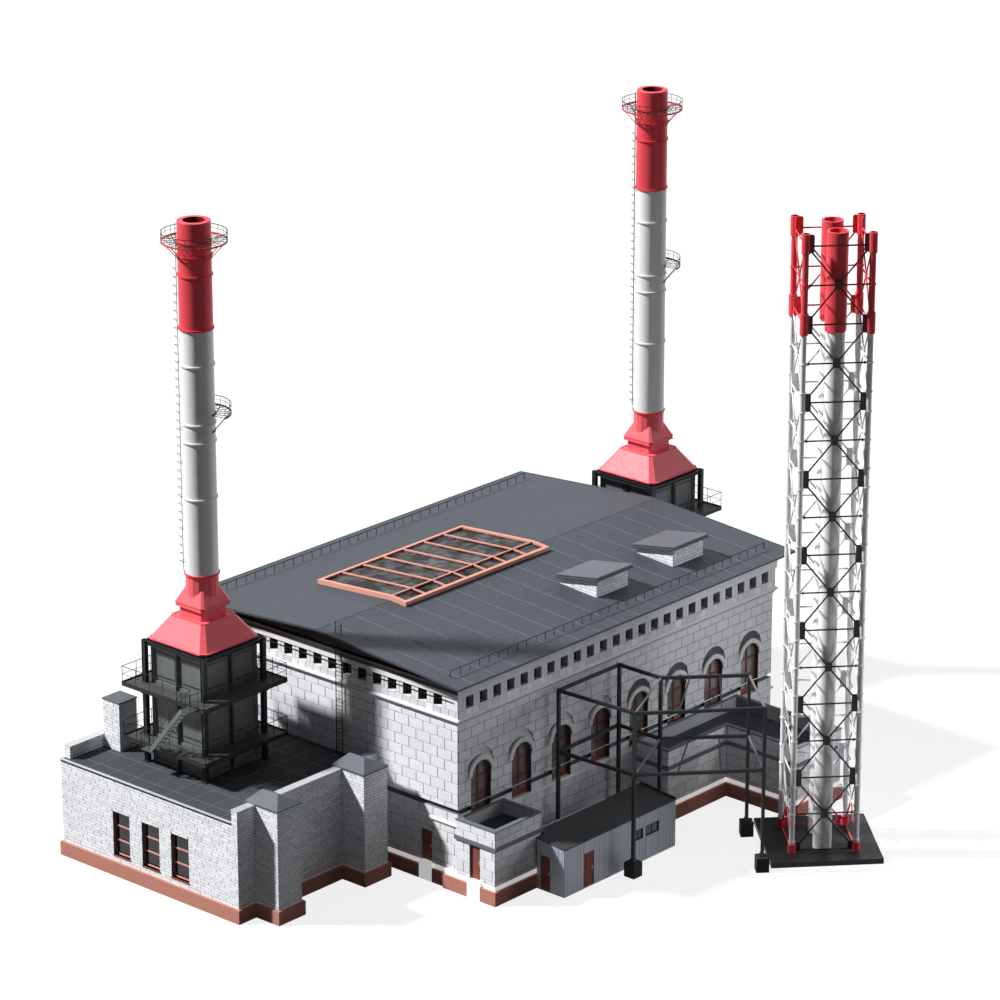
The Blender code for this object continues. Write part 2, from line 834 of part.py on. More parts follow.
solid(
    "porch_wall", ASHLAR,
    low_walls((
        (PORCH_X0, PORCH_DOOR[0]), (PORCH_X0, PORCH_Y), (PORCH_X1, PORCH_Y), (PORCH_X1, -GAP),
    )),
)
solid("porch_jamb", ASHLAR, low_walls(((PORCH_X0, -GAP), (PORCH_X0, PORCH_DOOR[1]))))
solid(
    "porch_roof", ASHLAR,
    tray(
        ((PORCH_X0, PORCH_X1, PORCH_Y),),
        ((PORCH_X0 + LOW_PARAPET_T, PORCH_X1 - LOW_PARAPET_T, PORCH_Y + LOW_PARAPET_T),),
    ),
)
solid(
    "wing_wall_west", ASHLAR,
    low_walls((
        (WING_X0, -GAP), (WING_X0, WING_Y1), (WING_X1, WING_Y1), (WING_X1, WING_Y2),
        (WING_DOOR[0], WING_Y2),
    )),
)
solid(
    "wing_wall_east", ASHLAR,
    low_walls(((WING_DOOR[1], WING_Y2), (WING_X2, WING_Y2), (WING_X2, -GAP))),
)
solid(
    "wing_roof", ASHLAR,
    tray(
        ((WING_X0, WING_X2, WING_Y1), (WING_X1, WING_X2, WING_Y2)),
        (
            (WING_X0 + LOW_PARAPET_T, WING_X2 - LOW_PARAPET_T, WING_Y1 + LOW_PARAPET_T),
            (WING_X1 + LOW_PARAPET_T, WING_X2 - LOW_PARAPET_T, WING_Y2 + LOW_PARAPET_T),
        ),
    ),
)


# ---------------------------------------------------------------- shed
def shed_slope(y):
    return SHED_FRONT_Z + (SHED_BACK_Z - SHED_FRONT_Z) * (y - SHED_Y0) / (SHED_Y1 - SHED_Y0)


def shed_windows():
    cuts = []
    for x0, x1 in SHED_WINDOWS:
        cuts.append(
            box(x0, x1, SHED_Y0 - BEYOND, SHED_Y0 + SHED_T * 2, SHED_WINDOW_Z,
                SHED_WINDOW_Z + SHED_WINDOW_H)
        )
    return cuts


SHED_PLAN = (
    (SHED_X0, SHED_Y0), (SHED_X1, SHED_Y0), (SHED_X1, SHED_Y1),
    (SHED_NOTCH_X, SHED_Y1), (SHED_NOTCH_X, SHED_NOTCH_Y), (SHED_X0, SHED_NOTCH_Y),
)
wall_base = SHED_FLOOR_T + GAP
solid("shed_floor", CONCRETE, prism(SHED_PLAN, "Z", 0.0, SHED_FLOOR_T))
solid(
    "shed_wall_corner", CLADDING,
    prism(
        strip(
            ((SHED_X0, SHED_END_DOOR[0]), (SHED_X0, SHED_Y0), (SHED_DOOR[0], SHED_Y0)), SHED_T
        ),
        "Z", wall_base, SHED_HEAD,
    ),
)
solid(
    "shed_wall_long", CLADDING,
    fused(
        [prism(
            strip(
                (
                    (SHED_DOOR[1], SHED_Y0), (SHED_X1, SHED_Y0), (SHED_X1, SHED_Y1),
                    (SHED_NOTCH_X, SHED_Y1), (SHED_NOTCH_X, SHED_NOTCH_Y),
                    (SHED_X0, SHED_NOTCH_Y), (SHED_X0, SHED_END_DOOR[1]),
                ),
                SHED_T,
            ),
            "Z", wall_base, SHED_HEAD,
        )],
        shed_windows(),
    ),
)
inner_plan = (
    (SHED_X0 + SHED_T, SHED_Y0 + SHED_T), (SHED_X1 - SHED_T, SHED_Y0 + SHED_T),
    (SHED_X1 - SHED_T, SHED_Y1 - SHED_T), (SHED_NOTCH_X + SHED_T, SHED_Y1 - SHED_T),
    (SHED_NOTCH_X + SHED_T, SHED_NOTCH_Y - SHED_T), (SHED_X0 + SHED_T, SHED_NOTCH_Y - SHED_T),
)
reach = 1.0
over = prism(
    (
        (SHED_Y0 - reach, shed_slope(SHED_Y0 - reach)),
        (SHED_Y1 + reach, shed_slope(SHED_Y1 + reach)),
        (SHED_Y1 + reach, SHED_BACK_Z + reach), (SHED_Y0 - reach, SHED_BACK_Z + reach),
    ),
    "X", SHED_X0 - reach, SHED_X1 + reach,
)
under = fused(
    [prism(inner_plan, "Z", SHED_HEAD - reach, SHED_BACK_Z + reach)],
    [prism(
        (
            (SHED_Y0 - reach, shed_slope(SHED_Y0 - reach) - SHED_ROOF_T),
            (SHED_Y1 + reach, shed_slope(SHED_Y1 + reach) - SHED_ROOF_T),
            (SHED_Y1 + reach, SHED_BACK_Z + 2 * reach), (SHED_Y0 - reach, SHED_BACK_Z + 2 * reach),
        ),
        "X", SHED_X0 - reach, SHED_X1 + reach,
    )],
)
solid(
    "shed_roof", CLADDING,
    fused([prism(SHED_PLAN, "Z", SHED_HEAD + GAP, SHED_BACK_Z + 0.1)], [over, under]),
)
solid(
    "shed_glass", GLASS,
    box(
        SHED_WINDOWS[0][0] - 0.05, SHED_WINDOWS[-1][1] + 0.05,
        SHED_Y0 + SHED_T + GAP, SHED_Y0 + SHED_T + GAP + 0.02,
        SHED_WINDOW_Z - 0.05, SHED_HEAD - 0.005,
    ),
)


# ---------------------------------------------------------------- west annex
def hipped_cap(x0, x1):
    """Buttress cap: a hip at the front, a ridge running back to the roof."""
    mid = (x0 + x1) / 2
    half = (x1 - x0) / 2
    z0, z1 = BUTTRESS_TOP, BUTTRESS_RIDGE
    hip = BUTTRESS_Y + half * 0.9
    front = [(x0, BUTTRESS_Y, z0), (x1, BUTTRESS_Y, z0)]
    back = [(x0, BUTTRESS_BACK, z0), (x1, BUTTRESS_BACK, z0)]
    ridge = [(mid, hip, z1), (mid, BUTTRESS_BACK - 0.25, z1)]
    bm = bmesh.new()
    f0, f1 = (bm.verts.new(p) for p in front)
    b0, b1 = (bm.verts.new(p) for p in back)
    r0, r1 = (bm.verts.new(p) for p in ridge)
    for loop in (
        (f0, f1, r0), (b1, b0, r1), (f1, b1, r1, r0), (b0, f0, r0, r1), (f0, b0, b1, f1),
    ):
        bm.faces.new(loop)
    bmesh.ops.recalc_face_normals(bm, faces=bm.faces)
    mesh = bpy.data.meshes.new("shape")
    bm.to_mesh(mesh)
    bm.free()
    return mesh


def annex_window_cuts(face):
    return [
        box(face - 0.5, face + 0.5, y0, y1, ANNEX_SILL, ANNEX_HEAD)
        for y0, y1 in ANNEX_WINDOWS
    ]


def west_walls():
    low = FLOOR + GAP
    path = (
        (-GAP, HALL_W), (WEST_X, HALL_W), (WEST_X, WEST_Y), (-GAP, WEST_Y),
    )
    adds = [
        prism(strip(path, ANNEX_T), "Z", low, ANNEX_TOP),
        box(WEST_X, -GAP, WEST_Y, WEST_Y + ANNEX_T, ANNEX_TOP - 0.2, ANNEX_PARAPET_Z),
        box(*BACK_RAISED, HALL_W - ANNEX_T, HALL_W, ANNEX_TOP - 0.2, ANNEX_PARAPET_Z),
    ]
    for x0, x1 in BUTTRESSES:
        adds.append(box(x0, x1, BUTTRESS_Y, WEST_Y + 0.1, low, BUTTRESS_TOP))
        adds.append(box(x0, x1, WEST_Y + 0.05, BUTTRESS_BACK, ANNEX_ROOF_Z + GAP, BUTTRESS_TOP))
        adds.append(hipped_cap(x0, x1))
    return fused(adds, annex_window_cuts(WEST_X))


solid("west_annex_walls", BRICK, west_walls())
edge = WEST_Y + ANNEX_T + GAP
west_roof = fused(
    [box(WEST_X, -GAP, edge, HALL_W, ANNEX_TOP + GAP, ANNEX_ROOF_Z)],
    [box(
        BACK_RAISED[0] - GAP, BACK_RAISED[1] + GAP, HALL_W - ANNEX_T - GAP, HALL_W + BEYOND,
        ANNEX_TOP - BEYOND, ANNEX_ROOF_Z + BEYOND,
    )],
)
solid("west_annex_roof", FLAT_ROOF, west_roof)


def annex_glass(face, sign):
    near, far = sorted((face - sign * (ANNEX_T + GAP), face - sign * (ANNEX_T + GAP + GLASS_T)))
    return box(
        near, far, ANNEX_WINDOWS[0][0] - 0.05, ANNEX_WINDOWS[-1][1] + 0.05,
        FLOOR + 0.02, ANNEX_HEAD + GLASS_LAP,
    )


solid("west_annex_glass", GLASS, annex_glass(WEST_X, -1))
stack = fused([
    box(STACK_X0, STACK_X1, STACK_Y0, HALL_W - ANNEX_T - 0.01,
        ANNEX_ROOF_Z + GAP, STACK_TOP - STACK_CAP_T),
    box(
        STACK_X0 - STACK_CAP_OUT, STACK_X1 + STACK_CAP_OUT, STACK_Y0 - STACK_CAP_OUT,
        HALL_W - ANNEX_T - 0.01 + STACK_CAP_OUT, STACK_TOP - STACK_CAP_T, STACK_TOP,
    ),
])
solid("brick_stack", BRICK, stack)

# ---------------------------------------------------------------- east annex
east_path = (
    (HALL_L + GAP, EAST_Y), (EAST_X, EAST_Y), (EAST_X, HALL_W), (HALL_L + GAP, HALL_W),
)
solid(
    "east_annex_walls", BRICK,
    fused(
        [prism(strip(east_path, ANNEX_T), "Z", FLOOR + GAP, ANNEX_TOP)],
        annex_window_cuts(EAST_X),
    ),
)
solid(
    "east_annex_roof", FLAT_ROOF,
    box(HALL_L + GAP, EAST_X, EAST_Y, HALL_W, ANNEX_TOP + GAP, ANNEX_ROOF_Z),
)
solid("east_annex_glass", GLASS, annex_glass(EAST_X, 1))


# ---------------------------------------------------------------- boiler units
def chamfered(half, z):
    cut = HOOD_CHAMFER * half / HOOD_HALF
    a, b = half, half - cut
    return [
        (a, -b, z), (a, b, z), (b, a, z), (-b, a, z),
        (-a, b, z), (-a, -b, z), (-b, -a, z), (b, -a, z),
    ]


def casing_mesh():
    """Boiler casing with two sunk panels on each side and a rib between."""
    low = ANNEX_ROOF_Z + GAP
    cuts = []
    a = CASING_HALF
    for side in (-1, 1):
        for u0, u1 in ((-a + CASING_RIB, -CASING_RIB / 2), (CASING_RIB / 2, a - CASING_RIB)):
            for z0, z1 in (
                (low + CASING_RIB, DECK_LOW_Z - 0.1), (DECK_LOW_Z + 0.1, DECK_HIGH_Z - 0.1),
                (DECK_HIGH_Z + 0.1, CASING_TOP - CASING_RIB - 0.1),
            ):
                near, far = sorted((side * (a - CASING_PANEL), side * (a + BEYOND)))
                cuts.append(box(near, far, u0, u1, z0, z1))
                cuts.append(box(u0, u1, near, far, z0, z1))
    return fused([box(-a, a, -a, a, low, CASING_TOP)], cuts)


def square_rail(half, z, bar_w):
    outer = box(-half, half, -half, half, z - bar_w / 2, z + bar_w / 2)
    inner = half - bar_w
    return fused([outer], [box(-inner, inner, -inner, inner, z - BEYOND, z + BEYOND)])


def frame_mesh():
    """Corner columns, top beams, two railed decks and the stair between them."""
    low = ANNEX_ROOF_Z + GAP
    hole = CASING_HALF + GAP
    adds = []
    for sx in (-1, 1):
        for sy in (-1, 1):
            x, y = sx * COLUMN_AT, sy * COLUMN_AT
            h = COLUMN_W / 2
            adds.append(box(x - h, x + h, y - h, y + h, low, COLUMN_TOP))
    adds.append(
        box(-COLUMN_AT, COLUMN_AT, -COLUMN_AT, COLUMN_AT, COLUMN_TOP - TOP_BEAM_H, COLUMN_TOP - 0.01)
    )
    cuts = [box(-hole, hole, -hole, hole, 0.0, CASING_TOP + BEYOND)]
    outer = -DECK_HALF - STAIR_W
    for z in (DECK_LOW_Z, DECK_HIGH_Z):
        adds.append(box(-DECK_HALF, DECK_HALF, -DECK_HALF, DECK_HALF, z - DECK_T, z))
    adds.append(box(outer, -DECK_HALF + 0.1, STAIR_Y0 - 0.02, STAIR_Y0 + STAIR_W,
                    DECK_LOW_Z - DECK_T, DECK_LOW_Z))
    adds.append(box(outer, -DECK_HALF + 0.1, STAIR_Y1 - STAIR_W, STAIR_Y1 + 0.02,
                    DECK_HIGH_Z - DECK_T, DECK_HIGH_Z))
    mesh = fused(adds, cuts)
    half = DECK_HALF - RAIL_BAR / 2
    rails = []
    for z in (DECK_LOW_Z, DECK_HIGH_Z):
        rails.append(square_rail(half, z + RAIL_H, RAIL_BAR))
        pitch = 2 * (half - RAIL_BAR / 2) / RAIL_POSTS
        for i in range(RAIL_POSTS):
            u = -half + RAIL_BAR / 2 + pitch * i
            v = half - RAIL_BAR / 2
            for x, y in ((u, -v), (v, u), (-u, v), (-v, -u)):
                r = RAIL_BAR * 0.4
                rails.append(box(x - r, x + r, y - r, y + r, z - 0.01, z + RAIL_H))
    for x in (outer + 0.03, -DECK_HALF - 0.03):
        rails.append(
            bar((x, STAIR_Y0 + 0.05, DECK_LOW_Z - 0.02), (x, STAIR_Y1 - 0.05, DECK_HIGH_Z - 0.02),
                0.03, 0.11)
        )
    rise = (DECK_HIGH_Z - DECK_LOW_Z) / (STAIR_TREADS + 1)
    going = (STAIR_Y0 - STAIR_Y1) / (STAIR_TREADS + 1)
    for i in range(STAIR_TREADS):
        y = STAIR_Y0 - going * (i + 1)
        z = DECK_LOW_Z + rise * (i + 1)
        rails.append(box(outer + 0.02, -DECK_HALF - 0.02, y - 0.07, y + 0.07, z - 0.025, z))
    return fused([mesh] + rails)


def hood_mesh():
    lower = loft([chamfered(HOOD_HALF, HOOD_Z), chamfered(HOOD_LEDGE_HALF, HOOD_LEDGE_Z)])
    neck = loft([
        chamfered(HOOD_NECK_HALF, HOOD_LEDGE_Z - 0.1), chamfered(HOOD_NECK_HALF, HOOD_FLANGE_Z + 0.05),
    ])
    upper = loft([
        chamfered(HOOD_FLANGE_HALF, HOOD_FLANGE_Z),
        chamfered(HOOD_FLANGE_HALF, HOOD_FLANGE_Z + HOOD_FLANGE_T),
        chamfered(HOOD_CONE_HALF, HOOD_CONE_Z),
    ])
    pipe = turned(
        ((CHIMNEY_R, HOOD_FLANGE_Z + HOOD_FLANGE_T / 2), (CHIMNEY_R, CHIMNEY_Z - GAP)),
        CHIMNEY_SIDES,
    )
    return fused([lower, neck, upper, pipe])


def chimney_mesh():
    outer = [(CHIMNEY_R + FLANGE_OUT, CHIMNEY_Z), (CHIMNEY_R + FLANGE_OUT, CHIMNEY_Z + FLANGE_T)]
    outer.append((CHIMNEY_R, CHIMNEY_Z + FLANGE_T))
    for z in FLANGE_LEVELS:
        outer += [
            (CHIMNEY_R, z - FLANGE_T), (CHIMNEY_R + FLANGE_OUT, z - FLANGE_T),
            (CHIMNEY_R + FLANGE_OUT, z), (CHIMNEY_R, z),
        ]
    outer += [(CHIMNEY_R, CHIMNEY_TOP), (CHIMNEY_BORE, CHIMNEY_TOP), (CHIMNEY_BORE, CHIMNEY_Z)]
    return turned(outer, CHIMNEY_SIDES, hollow=True)


def annulus(r0, r1, low, high):
    return turned(((r0, low), (r1, low), (r1, high), (r0, high)), CHIMNEY_SIDES, hollow=True)


def polar(radius, angle, z):
    return (radius * math.cos(angle), radius * math.sin(angle), z)


def gallery_pieces():
    """Ring gallery, and a half gallery on a clamping band."""
    inner = CHIMNEY_R + GAP * 1.5
    rim = GALLERY_R - GALLERY_BAR
    adds = [annulus(inner, GALLERY_R, GALLERY_Z - GALLERY_T, GALLERY_Z)]
    top = GALLERY_Z + GALLERY_RAIL_H
    adds.append(annulus(rim, GALLERY_R, top - GALLERY_BAR, top))
    step = math.tau / CHIMNEY_SIDES
    half = CHIMNEY_SIDES // 2
    for i in range(half):
        turn = step * (i * 2 + 0.5)
        spot = GALLERY_R - GALLERY_BAR * 0.6
        adds.append(
            bar(polar(spot, turn, GALLERY_Z - 0.01),
                polar(spot, turn, GALLERY_Z + GALLERY_RAIL_H - 0.004), GALLERY_BAR * 0.7)
        )
    away = -math.pi / 4
    wide = GALLERY_R * 3
    half_off = box(-wide, 0.0, -wide, wide, HALF_DECK_Z - BEYOND, HALF_DECK_Z + BEYOND)
    half_off.transform(Matrix.Rotation(away, 4, "Z"))
    arcs = [annulus(inner, GALLERY_R, HALF_DECK_Z - GALLERY_T, HALF_DECK_Z)]
    top = HALF_DECK_Z + GALLERY_RAIL_H
    arcs.append(annulus(rim, GALLERY_R, top - GALLERY_BAR, top))
    for k in (-3.5, -1.5, 0.5, 2.5):
        turn = away + step * (k + 0.5) * 0.98
        spot = GALLERY_R - GALLERY_BAR * 0.75
        arcs.append(
            bar(polar(spot, turn, HALF_DECK_Z - 0.01),
                polar(spot, turn, HALF_DECK_Z + GALLERY_RAIL_H - 0.004), GALLERY_BAR * 0.7)
        )
    band = annulus(inner, inner + BAND_T, HALF_DECK_Z - BAND_H, HALF_DECK_Z)
    return adds + [fused([band, fused(arcs, [half_off])])]


west = empty("boiler_unit_west", (UNIT_WEST_X, UNIT_Y, 0.0))
east = empty("boiler_unit_east", (UNIT_EAST_X, UNIT_Y, 0.0))
unit_meshes = (
    ("casing", CASING, casing_mesh()),
    ("casing_frame", STEEL, frame_mesh()),
    ("hood", RED, hood_mesh()),
    ("chimney", WHITE, chimney_mesh()),
)
for prefix, unit in (("west", west), ("east", east)):
    for part, surface, mesh in unit_meshes:
        solid(prefix + "_" + part, surface, mesh, parent=unit)


def climb_mesh():
    """Chimney ladder with brackets, the ring gallery and the half gallery."""
    turn = math.pi * 0.75
    across = Vector((-math.sin(turn), math.cos(turn), 0.0))
    out = Vector((math.cos(turn), math.sin(turn), 0.0))
    flat = CHIMNEY_R * math.cos(math.pi / CHIMNEY_SIDES)
    stand = flat + CLIMB_OUT
    low, high = CHIMNEY_Z + 0.2, GALLERY_Z + 0.3
    adds = gallery_pieces()
    for side in (-1, 1):
        foot = out * stand + across * side * CLIMB_W / 2
        adds.append(bar(foot + Vector((0, 0, low)), foot + Vector((0, 0, high)), CLIMB_BAR))
        for z in (low + 0.3, 12.3, HALF_DECK_Z - BAND_H / 2, 17.3):
            near = out * (flat + (BAND_T / 2 if z > 14.0 and z < 15.0 else GAP))
            near = near + across * side * CLIMB_W / 2
            adds.append(bar(foot + Vector((0, 0, z)), near + Vector((0, 0, z)), CLIMB_BAR * 0.8))
    steps = int((high - low - 0.1) / CLIMB_STEP)
    for i in range(steps):
        z = low + 0.1 + CLIMB_STEP * i
        a = out * stand + across * CLIMB_W / 2 + Vector((0, 0, z))
        b = out * stand - across * CLIMB_W / 2 + Vector((0, 0, z))
        adds.append(bar(a, b, CLIMB_BAR * 0.7))
    return fused(adds)


climb = climb_mesh()
for prefix, unit in (("west", west), ("east", east)):
    solid(prefix + "_gallery", STEEL, climb, parent=unit)


# ---------------------------------------------------------------- trestle
def by_tower(u, v):
    """Place on the ground from the tower's own two directions."""
    c, s = math.cos(TOWER_TURN), math.sin(TOWER_TURN)
    return (TOWER_AT[0] + u * c - v * s, TOWER_AT[1] + u * s + v * c)


def trestle_mesh():
    e = by_tower(TRESTLE_E[0], TOWER_BASE_HALF + TRESTLE_E[1])
    f = by_tower(TRESTLE_F[0] - TOWER_BASE_HALF, TRESTLE_F[1] + TOWER_BASE_HALF)
    places = [Vector((x, y, 0.0)) for x, y in (
        TRESTLE_A, TRESTLE_B, TRESTLE_C, TRESTLE_D, e, f,
    )]
    a, b, c, d, e, f = places
    adds = []
    for spot in places:
        wide = spot in (c, e, f)
        half = (FOOTING_W if wide else SMALL_FOOTING_W) / 2
        top = FOOTING_H if wide else FOOTING_H / 4
        adds.append(box(spot.x - half, spot.x + half, spot.y - half, spot.y + half, 0.0, top))
        adds.append(
            bar(spot + Vector((0, 0, 0.02)), spot + Vector((0, 0, BEAM_HIGH_Z + BEAM_W / 2)), POST_W)
        )
    for z in (BEAM_LOW_Z, BEAM_HIGH_Z):
        lift = Vector((0, 0, z))
        for p, q in ((a, b), (b, d), (d, c), (c, a), (c, f), (d, e), (e, f)):
            adds.append(bar(p + lift, q + lift, BEAM_W * 0.9, BEAM_W))
        for k in (1 / 3, 2 / 3):
            p = c.lerp(f, k)
            q = d.lerp(e, k)
            adds.append(bar(p + lift, q + lift, TIE_W, TIE_H))
            p = a.lerp(c, k)
            q = b.lerp(d, k)
            adds.append(bar(p + lift, q + lift, TIE_W, TIE_H))
    return fused(adds)


solid("trestle", STEEL, trestle_mesh())


# ---------------------------------------------------------------- lattice tower
def leg_mesh(x, y):
    return turned(
        (
            (LEG_SLEEVE_R, TOWER_BASE_H + GAP), (LEG_SLEEVE_R, LEG_FOOT_Z),
            (LEG_R, LEG_FOOT_Z), (LEG_R, LEG_RED_Z),
            (LEG_SLEEVE_R, LEG_RED_Z), (LEG_SLEEVE_R, TOWER_TOP),
        ),
        LEG_SIDES, (x, y),
    )


def bracing(reach):
    """Flat bracing in the XZ plane between two legs, as (u, z) outlines."""
    outlines = []
    w = BRACE_W / 2

    def flat_bar(p, q):
        p, q = Vector(p), Vector(q)
        n = (q - p).normalized()
        n = Vector((-n.y, n.x)) * w
        outlines.append([tuple(p + n), tuple(p - n), tuple(q - n), tuple(q + n)])

    for k in range(TOWER_BAYS + 1):
        z = TOWER_FIRST_Z + TOWER_BAY * k
        flat_bar((-reach, z), (reach, z))
        low = max(z - GUSSET_H / 2, TOWER_BASE_H + GAP)
        high = min(z + GUSSET_H / 2, TOWER_TOP)
        for side in (-1, 1):
            outlines.append([(side * u, v) for u, v in (
                (reach, low), (reach - GUSSET_W * 0.5, low),
                (reach - GUSSET_W, low + GUSSET_W * 0.7),
                (reach - GUSSET_W, high - GUSSET_W * 0.7),
                (reach - GUSSET_W * 0.5, high), (reach, high),
            )])
        if k == TOWER_BAYS:
            break
        flat_bar((-reach, z + TOWER_BAY / 2), (reach, z + TOWER_BAY / 2))
        inner = reach - GUSSET_W * 0.6
        rise = GUSSET_H * 0.36
        for side in (-1, 1):
            flat_bar((side * inner, z + rise), (-side * inner, z + TOWER_BAY - rise))
    return outlines


def side_frame(with_legs):
    """One side of the tower, standing in the plane x = 0, legs at y = +-half."""
    clear = (LEG_SLEEVE_R + GAP * 2) if not with_legs else 0.0
    reach = TOWER_HALF - clear
    pieces = []
    for outline in bracing(reach):
        pieces.append(
            prism([(u, z) for u, z in outline], "X", -BRACE_T / 2, BRACE_T / 2)
        )
    if with_legs:
        pieces.append(leg_mesh(0.0, -TOWER_HALF))
        pieces.append(leg_mesh(0.0, TOWER_HALF))
    return fused(pieces)


tower = empty("tower", (*TOWER_AT, 0.0), TOWER_TURN)
h = TOWER_BASE_HALF
solid("tower_base", STEEL, box(-h, h, -h, h, 0.0, TOWER_BASE_H), parent=tower)
legged = side_frame(True)
open_side = side_frame(False)
solid("tower_frame_front", TUBE, legged, parent=tower, at=(-TOWER_HALF, 0.0, 0.0))
solid("tower_frame_back", TUBE, legged, parent=tower, at=(TOWER_HALF, 0.0, 0.0))
for name, side in (("tower_bracing_right", -1), ("tower_bracing_left", 1)):
    made = solid(name, TUBE, open_side, parent=tower, at=(0.0, side * TOWER_HALF, 0.0))
    made.rotation_euler = (0.0, 0.0, math.pi / 2)


def flue_mesh():
    low = TOWER_BASE_H + GAP
    profile = (
        (FLUE_R, low), (FLUE_R, LEG_RED_Z), (FLUE_RED_R, LEG_RED_Z), (FLUE_RED_R, FLUE_TOP),
        (FLUE_R - FLUE_WALL, FLUE_TOP), (FLUE_R - FLUE_WALL, low),
    )
    return turned(profile, FLUE_SIDES, hollow=True)


flue = flue_mesh()
for name, (x, y) in zip(("flue_front", "flue_rear"), FLUES):
    solid(name, TUBE, flue, parent=tower, at=(x, y, 0.0))


# ---------------------------------------------------------------- doors
def leaf_mesh(width, height, side):
    """Door leaf from its hinge axis along +X, its outer face in the plane y = 0."""
    adds = [box(0.0, width, 0.0, LEAF_T, 0.0, height)]
    for z in (height * 0.12, height * 0.5 - HINGE_H / 2, height * 0.88 - HINGE_H):
        adds.append(turned(((HINGE_R, z), (HINGE_R, z + HINGE_H)), 8))
    mesh = fused(adds)
    if side < 0:
        mesh.transform(Matrix.Scale(-1, 4, (1, 0, 0)))
        mesh.flip_normals()
    return mesh


def door(name, hinge, width, height, turn, side=1):
    """Turn is the direction of the leaf's outer face about the upright axis."""
    leaf = leaf_mesh(width - 2 * DOOR_GAP, height - 2 * DOOR_GAP, side)
    made = solid(name, DOOR, leaf, at=hinge)
    made.rotation_euler = (0.0, 0.0, turn)
    return made


west_face = math.radians(-90)
door(
    "hall_side_door", (LEAF_IN, SIDE_DOOR[1] - DOOR_GAP, FLOOR + DOOR_GAP),
    SIDE_DOOR[1] - SIDE_DOOR[0], SIDE_DOOR[2] - FLOOR, west_face,
)
door(
    "porch_door", (PORCH_X0 + LEAF_IN, PORCH_DOOR[1] - DOOR_GAP, FLOOR + DOOR_GAP),
    PORCH_DOOR[1] - PORCH_DOOR[0], LOW_WALL_TOP - FLOOR, west_face,
)
door(
    "wing_door", (WING_DOOR[0] + DOOR_GAP, WING_Y2 + LEAF_IN, FLOOR + DOOR_GAP),
    WING_DOOR[1] - WING_DOOR[0], LOW_WALL_TOP - FLOOR, 0.0,
)
shed_in = SHED_T - LEAF_T - GAP
door(
    "shed_front_door", (SHED_DOOR[0] + DOOR_GAP, SHED_Y0 + shed_in, SHED_FLOOR_T + DOOR_GAP),
    SHED_DOOR[1] - SHED_DOOR[0], SHED_HEAD - SHED_FLOOR_T, 0.0,
)
door(
    "shed_end_door", (SHED_X0 + shed_in, SHED_END_DOOR[1] - DOOR_GAP, SHED_FLOOR_T + DOOR_GAP),
    SHED_END_DOOR[1] - SHED_END_DOOR[0], SHED_HEAD - SHED_FLOOR_T, west_face,
)
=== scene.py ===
"""Looks of the boiler house: masonry, roofing, joinery, painted steel and glass over the frame."""
import json
import math

import bmesh
import bpy
from mathutils import Matrix, Vector

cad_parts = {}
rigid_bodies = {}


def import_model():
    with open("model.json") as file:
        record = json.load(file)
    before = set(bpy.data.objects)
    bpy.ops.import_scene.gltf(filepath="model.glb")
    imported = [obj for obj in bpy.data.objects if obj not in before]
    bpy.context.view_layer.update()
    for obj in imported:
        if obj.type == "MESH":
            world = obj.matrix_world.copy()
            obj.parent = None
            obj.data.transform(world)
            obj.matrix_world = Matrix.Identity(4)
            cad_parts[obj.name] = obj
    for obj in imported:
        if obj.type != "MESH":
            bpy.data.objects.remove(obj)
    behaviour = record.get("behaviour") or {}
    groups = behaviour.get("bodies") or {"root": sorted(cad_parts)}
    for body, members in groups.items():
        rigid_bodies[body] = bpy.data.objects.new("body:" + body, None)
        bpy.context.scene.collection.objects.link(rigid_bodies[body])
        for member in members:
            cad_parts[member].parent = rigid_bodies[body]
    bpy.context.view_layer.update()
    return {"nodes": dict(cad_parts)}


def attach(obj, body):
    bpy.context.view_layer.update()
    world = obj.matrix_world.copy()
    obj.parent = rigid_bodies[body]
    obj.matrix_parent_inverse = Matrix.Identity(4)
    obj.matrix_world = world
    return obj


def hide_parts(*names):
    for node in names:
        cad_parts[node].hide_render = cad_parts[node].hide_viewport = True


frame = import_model()
nodes = frame["nodes"]

# ---------------------------------------------------------------- sizes, in metres
HALL_L, HALL_W, FLOOR = 15.56, 11.2, 0.625
GROOVE_LOW, GROOVE_HIGH, UPPER_BED = 2.55, 2.70, 2.865
STRING_Z, STRING_H, STRING_OUT = 5.516, 0.264, 0.12
FRIEZE_OUT = 0.05
HEAD_Z, HEAD_H, HEAD_OUT = 6.44, 0.04, 0.09
COVE_H, COVE_OUT = 0.36, 0.19
EAVE_Z, RIDGE_Z, ROOF_T = 6.99, 7.43, 0.06
OVERHANG, OVERHANG_EAST = 0.485, 0.58
WINDOW_COUNT, WINDOW_FIRST, WINDOW_PITCH, WINDOW_W = 8, 1.057, 1.906, 0.90
WINDOW_SILL, WINDOW_SPRING = 2.25, 3.64
ARCH_RING, ARCH_OUT = 0.155, 0.05
CRESCENT_RISE, CRESCENT_D = 0.28, 0.06
SLOT_W, SLOT_Z, SLOT_H = 0.35, 6.01, 0.42
FRONT_SLOTS, FRONT_SLOT_EDGE = 24, 0.32
GABLE_SLOTS, GABLE_SLOT_EDGE = 16, 0.60
SKY_X, SKY_Y, SKY_CURB, SKY_H, SKY_BAYS = (2.95, 9.90), (4.90, 8.80), 0.13, 0.15, 7
VENT_X, VENT_L, VENT_Y = (8.127, 11.966), 1.527, (1.335, 2.885)
PORCH_X, PORCH_Y, PORCH_DOOR = (-0.085, 2.05), -1.61, (-0.985, -0.57)
WING_X, WING_Y, WING_DOOR = (8.45, 11.435, 13.70), (-1.45, -4.40), (12.05, 12.50)
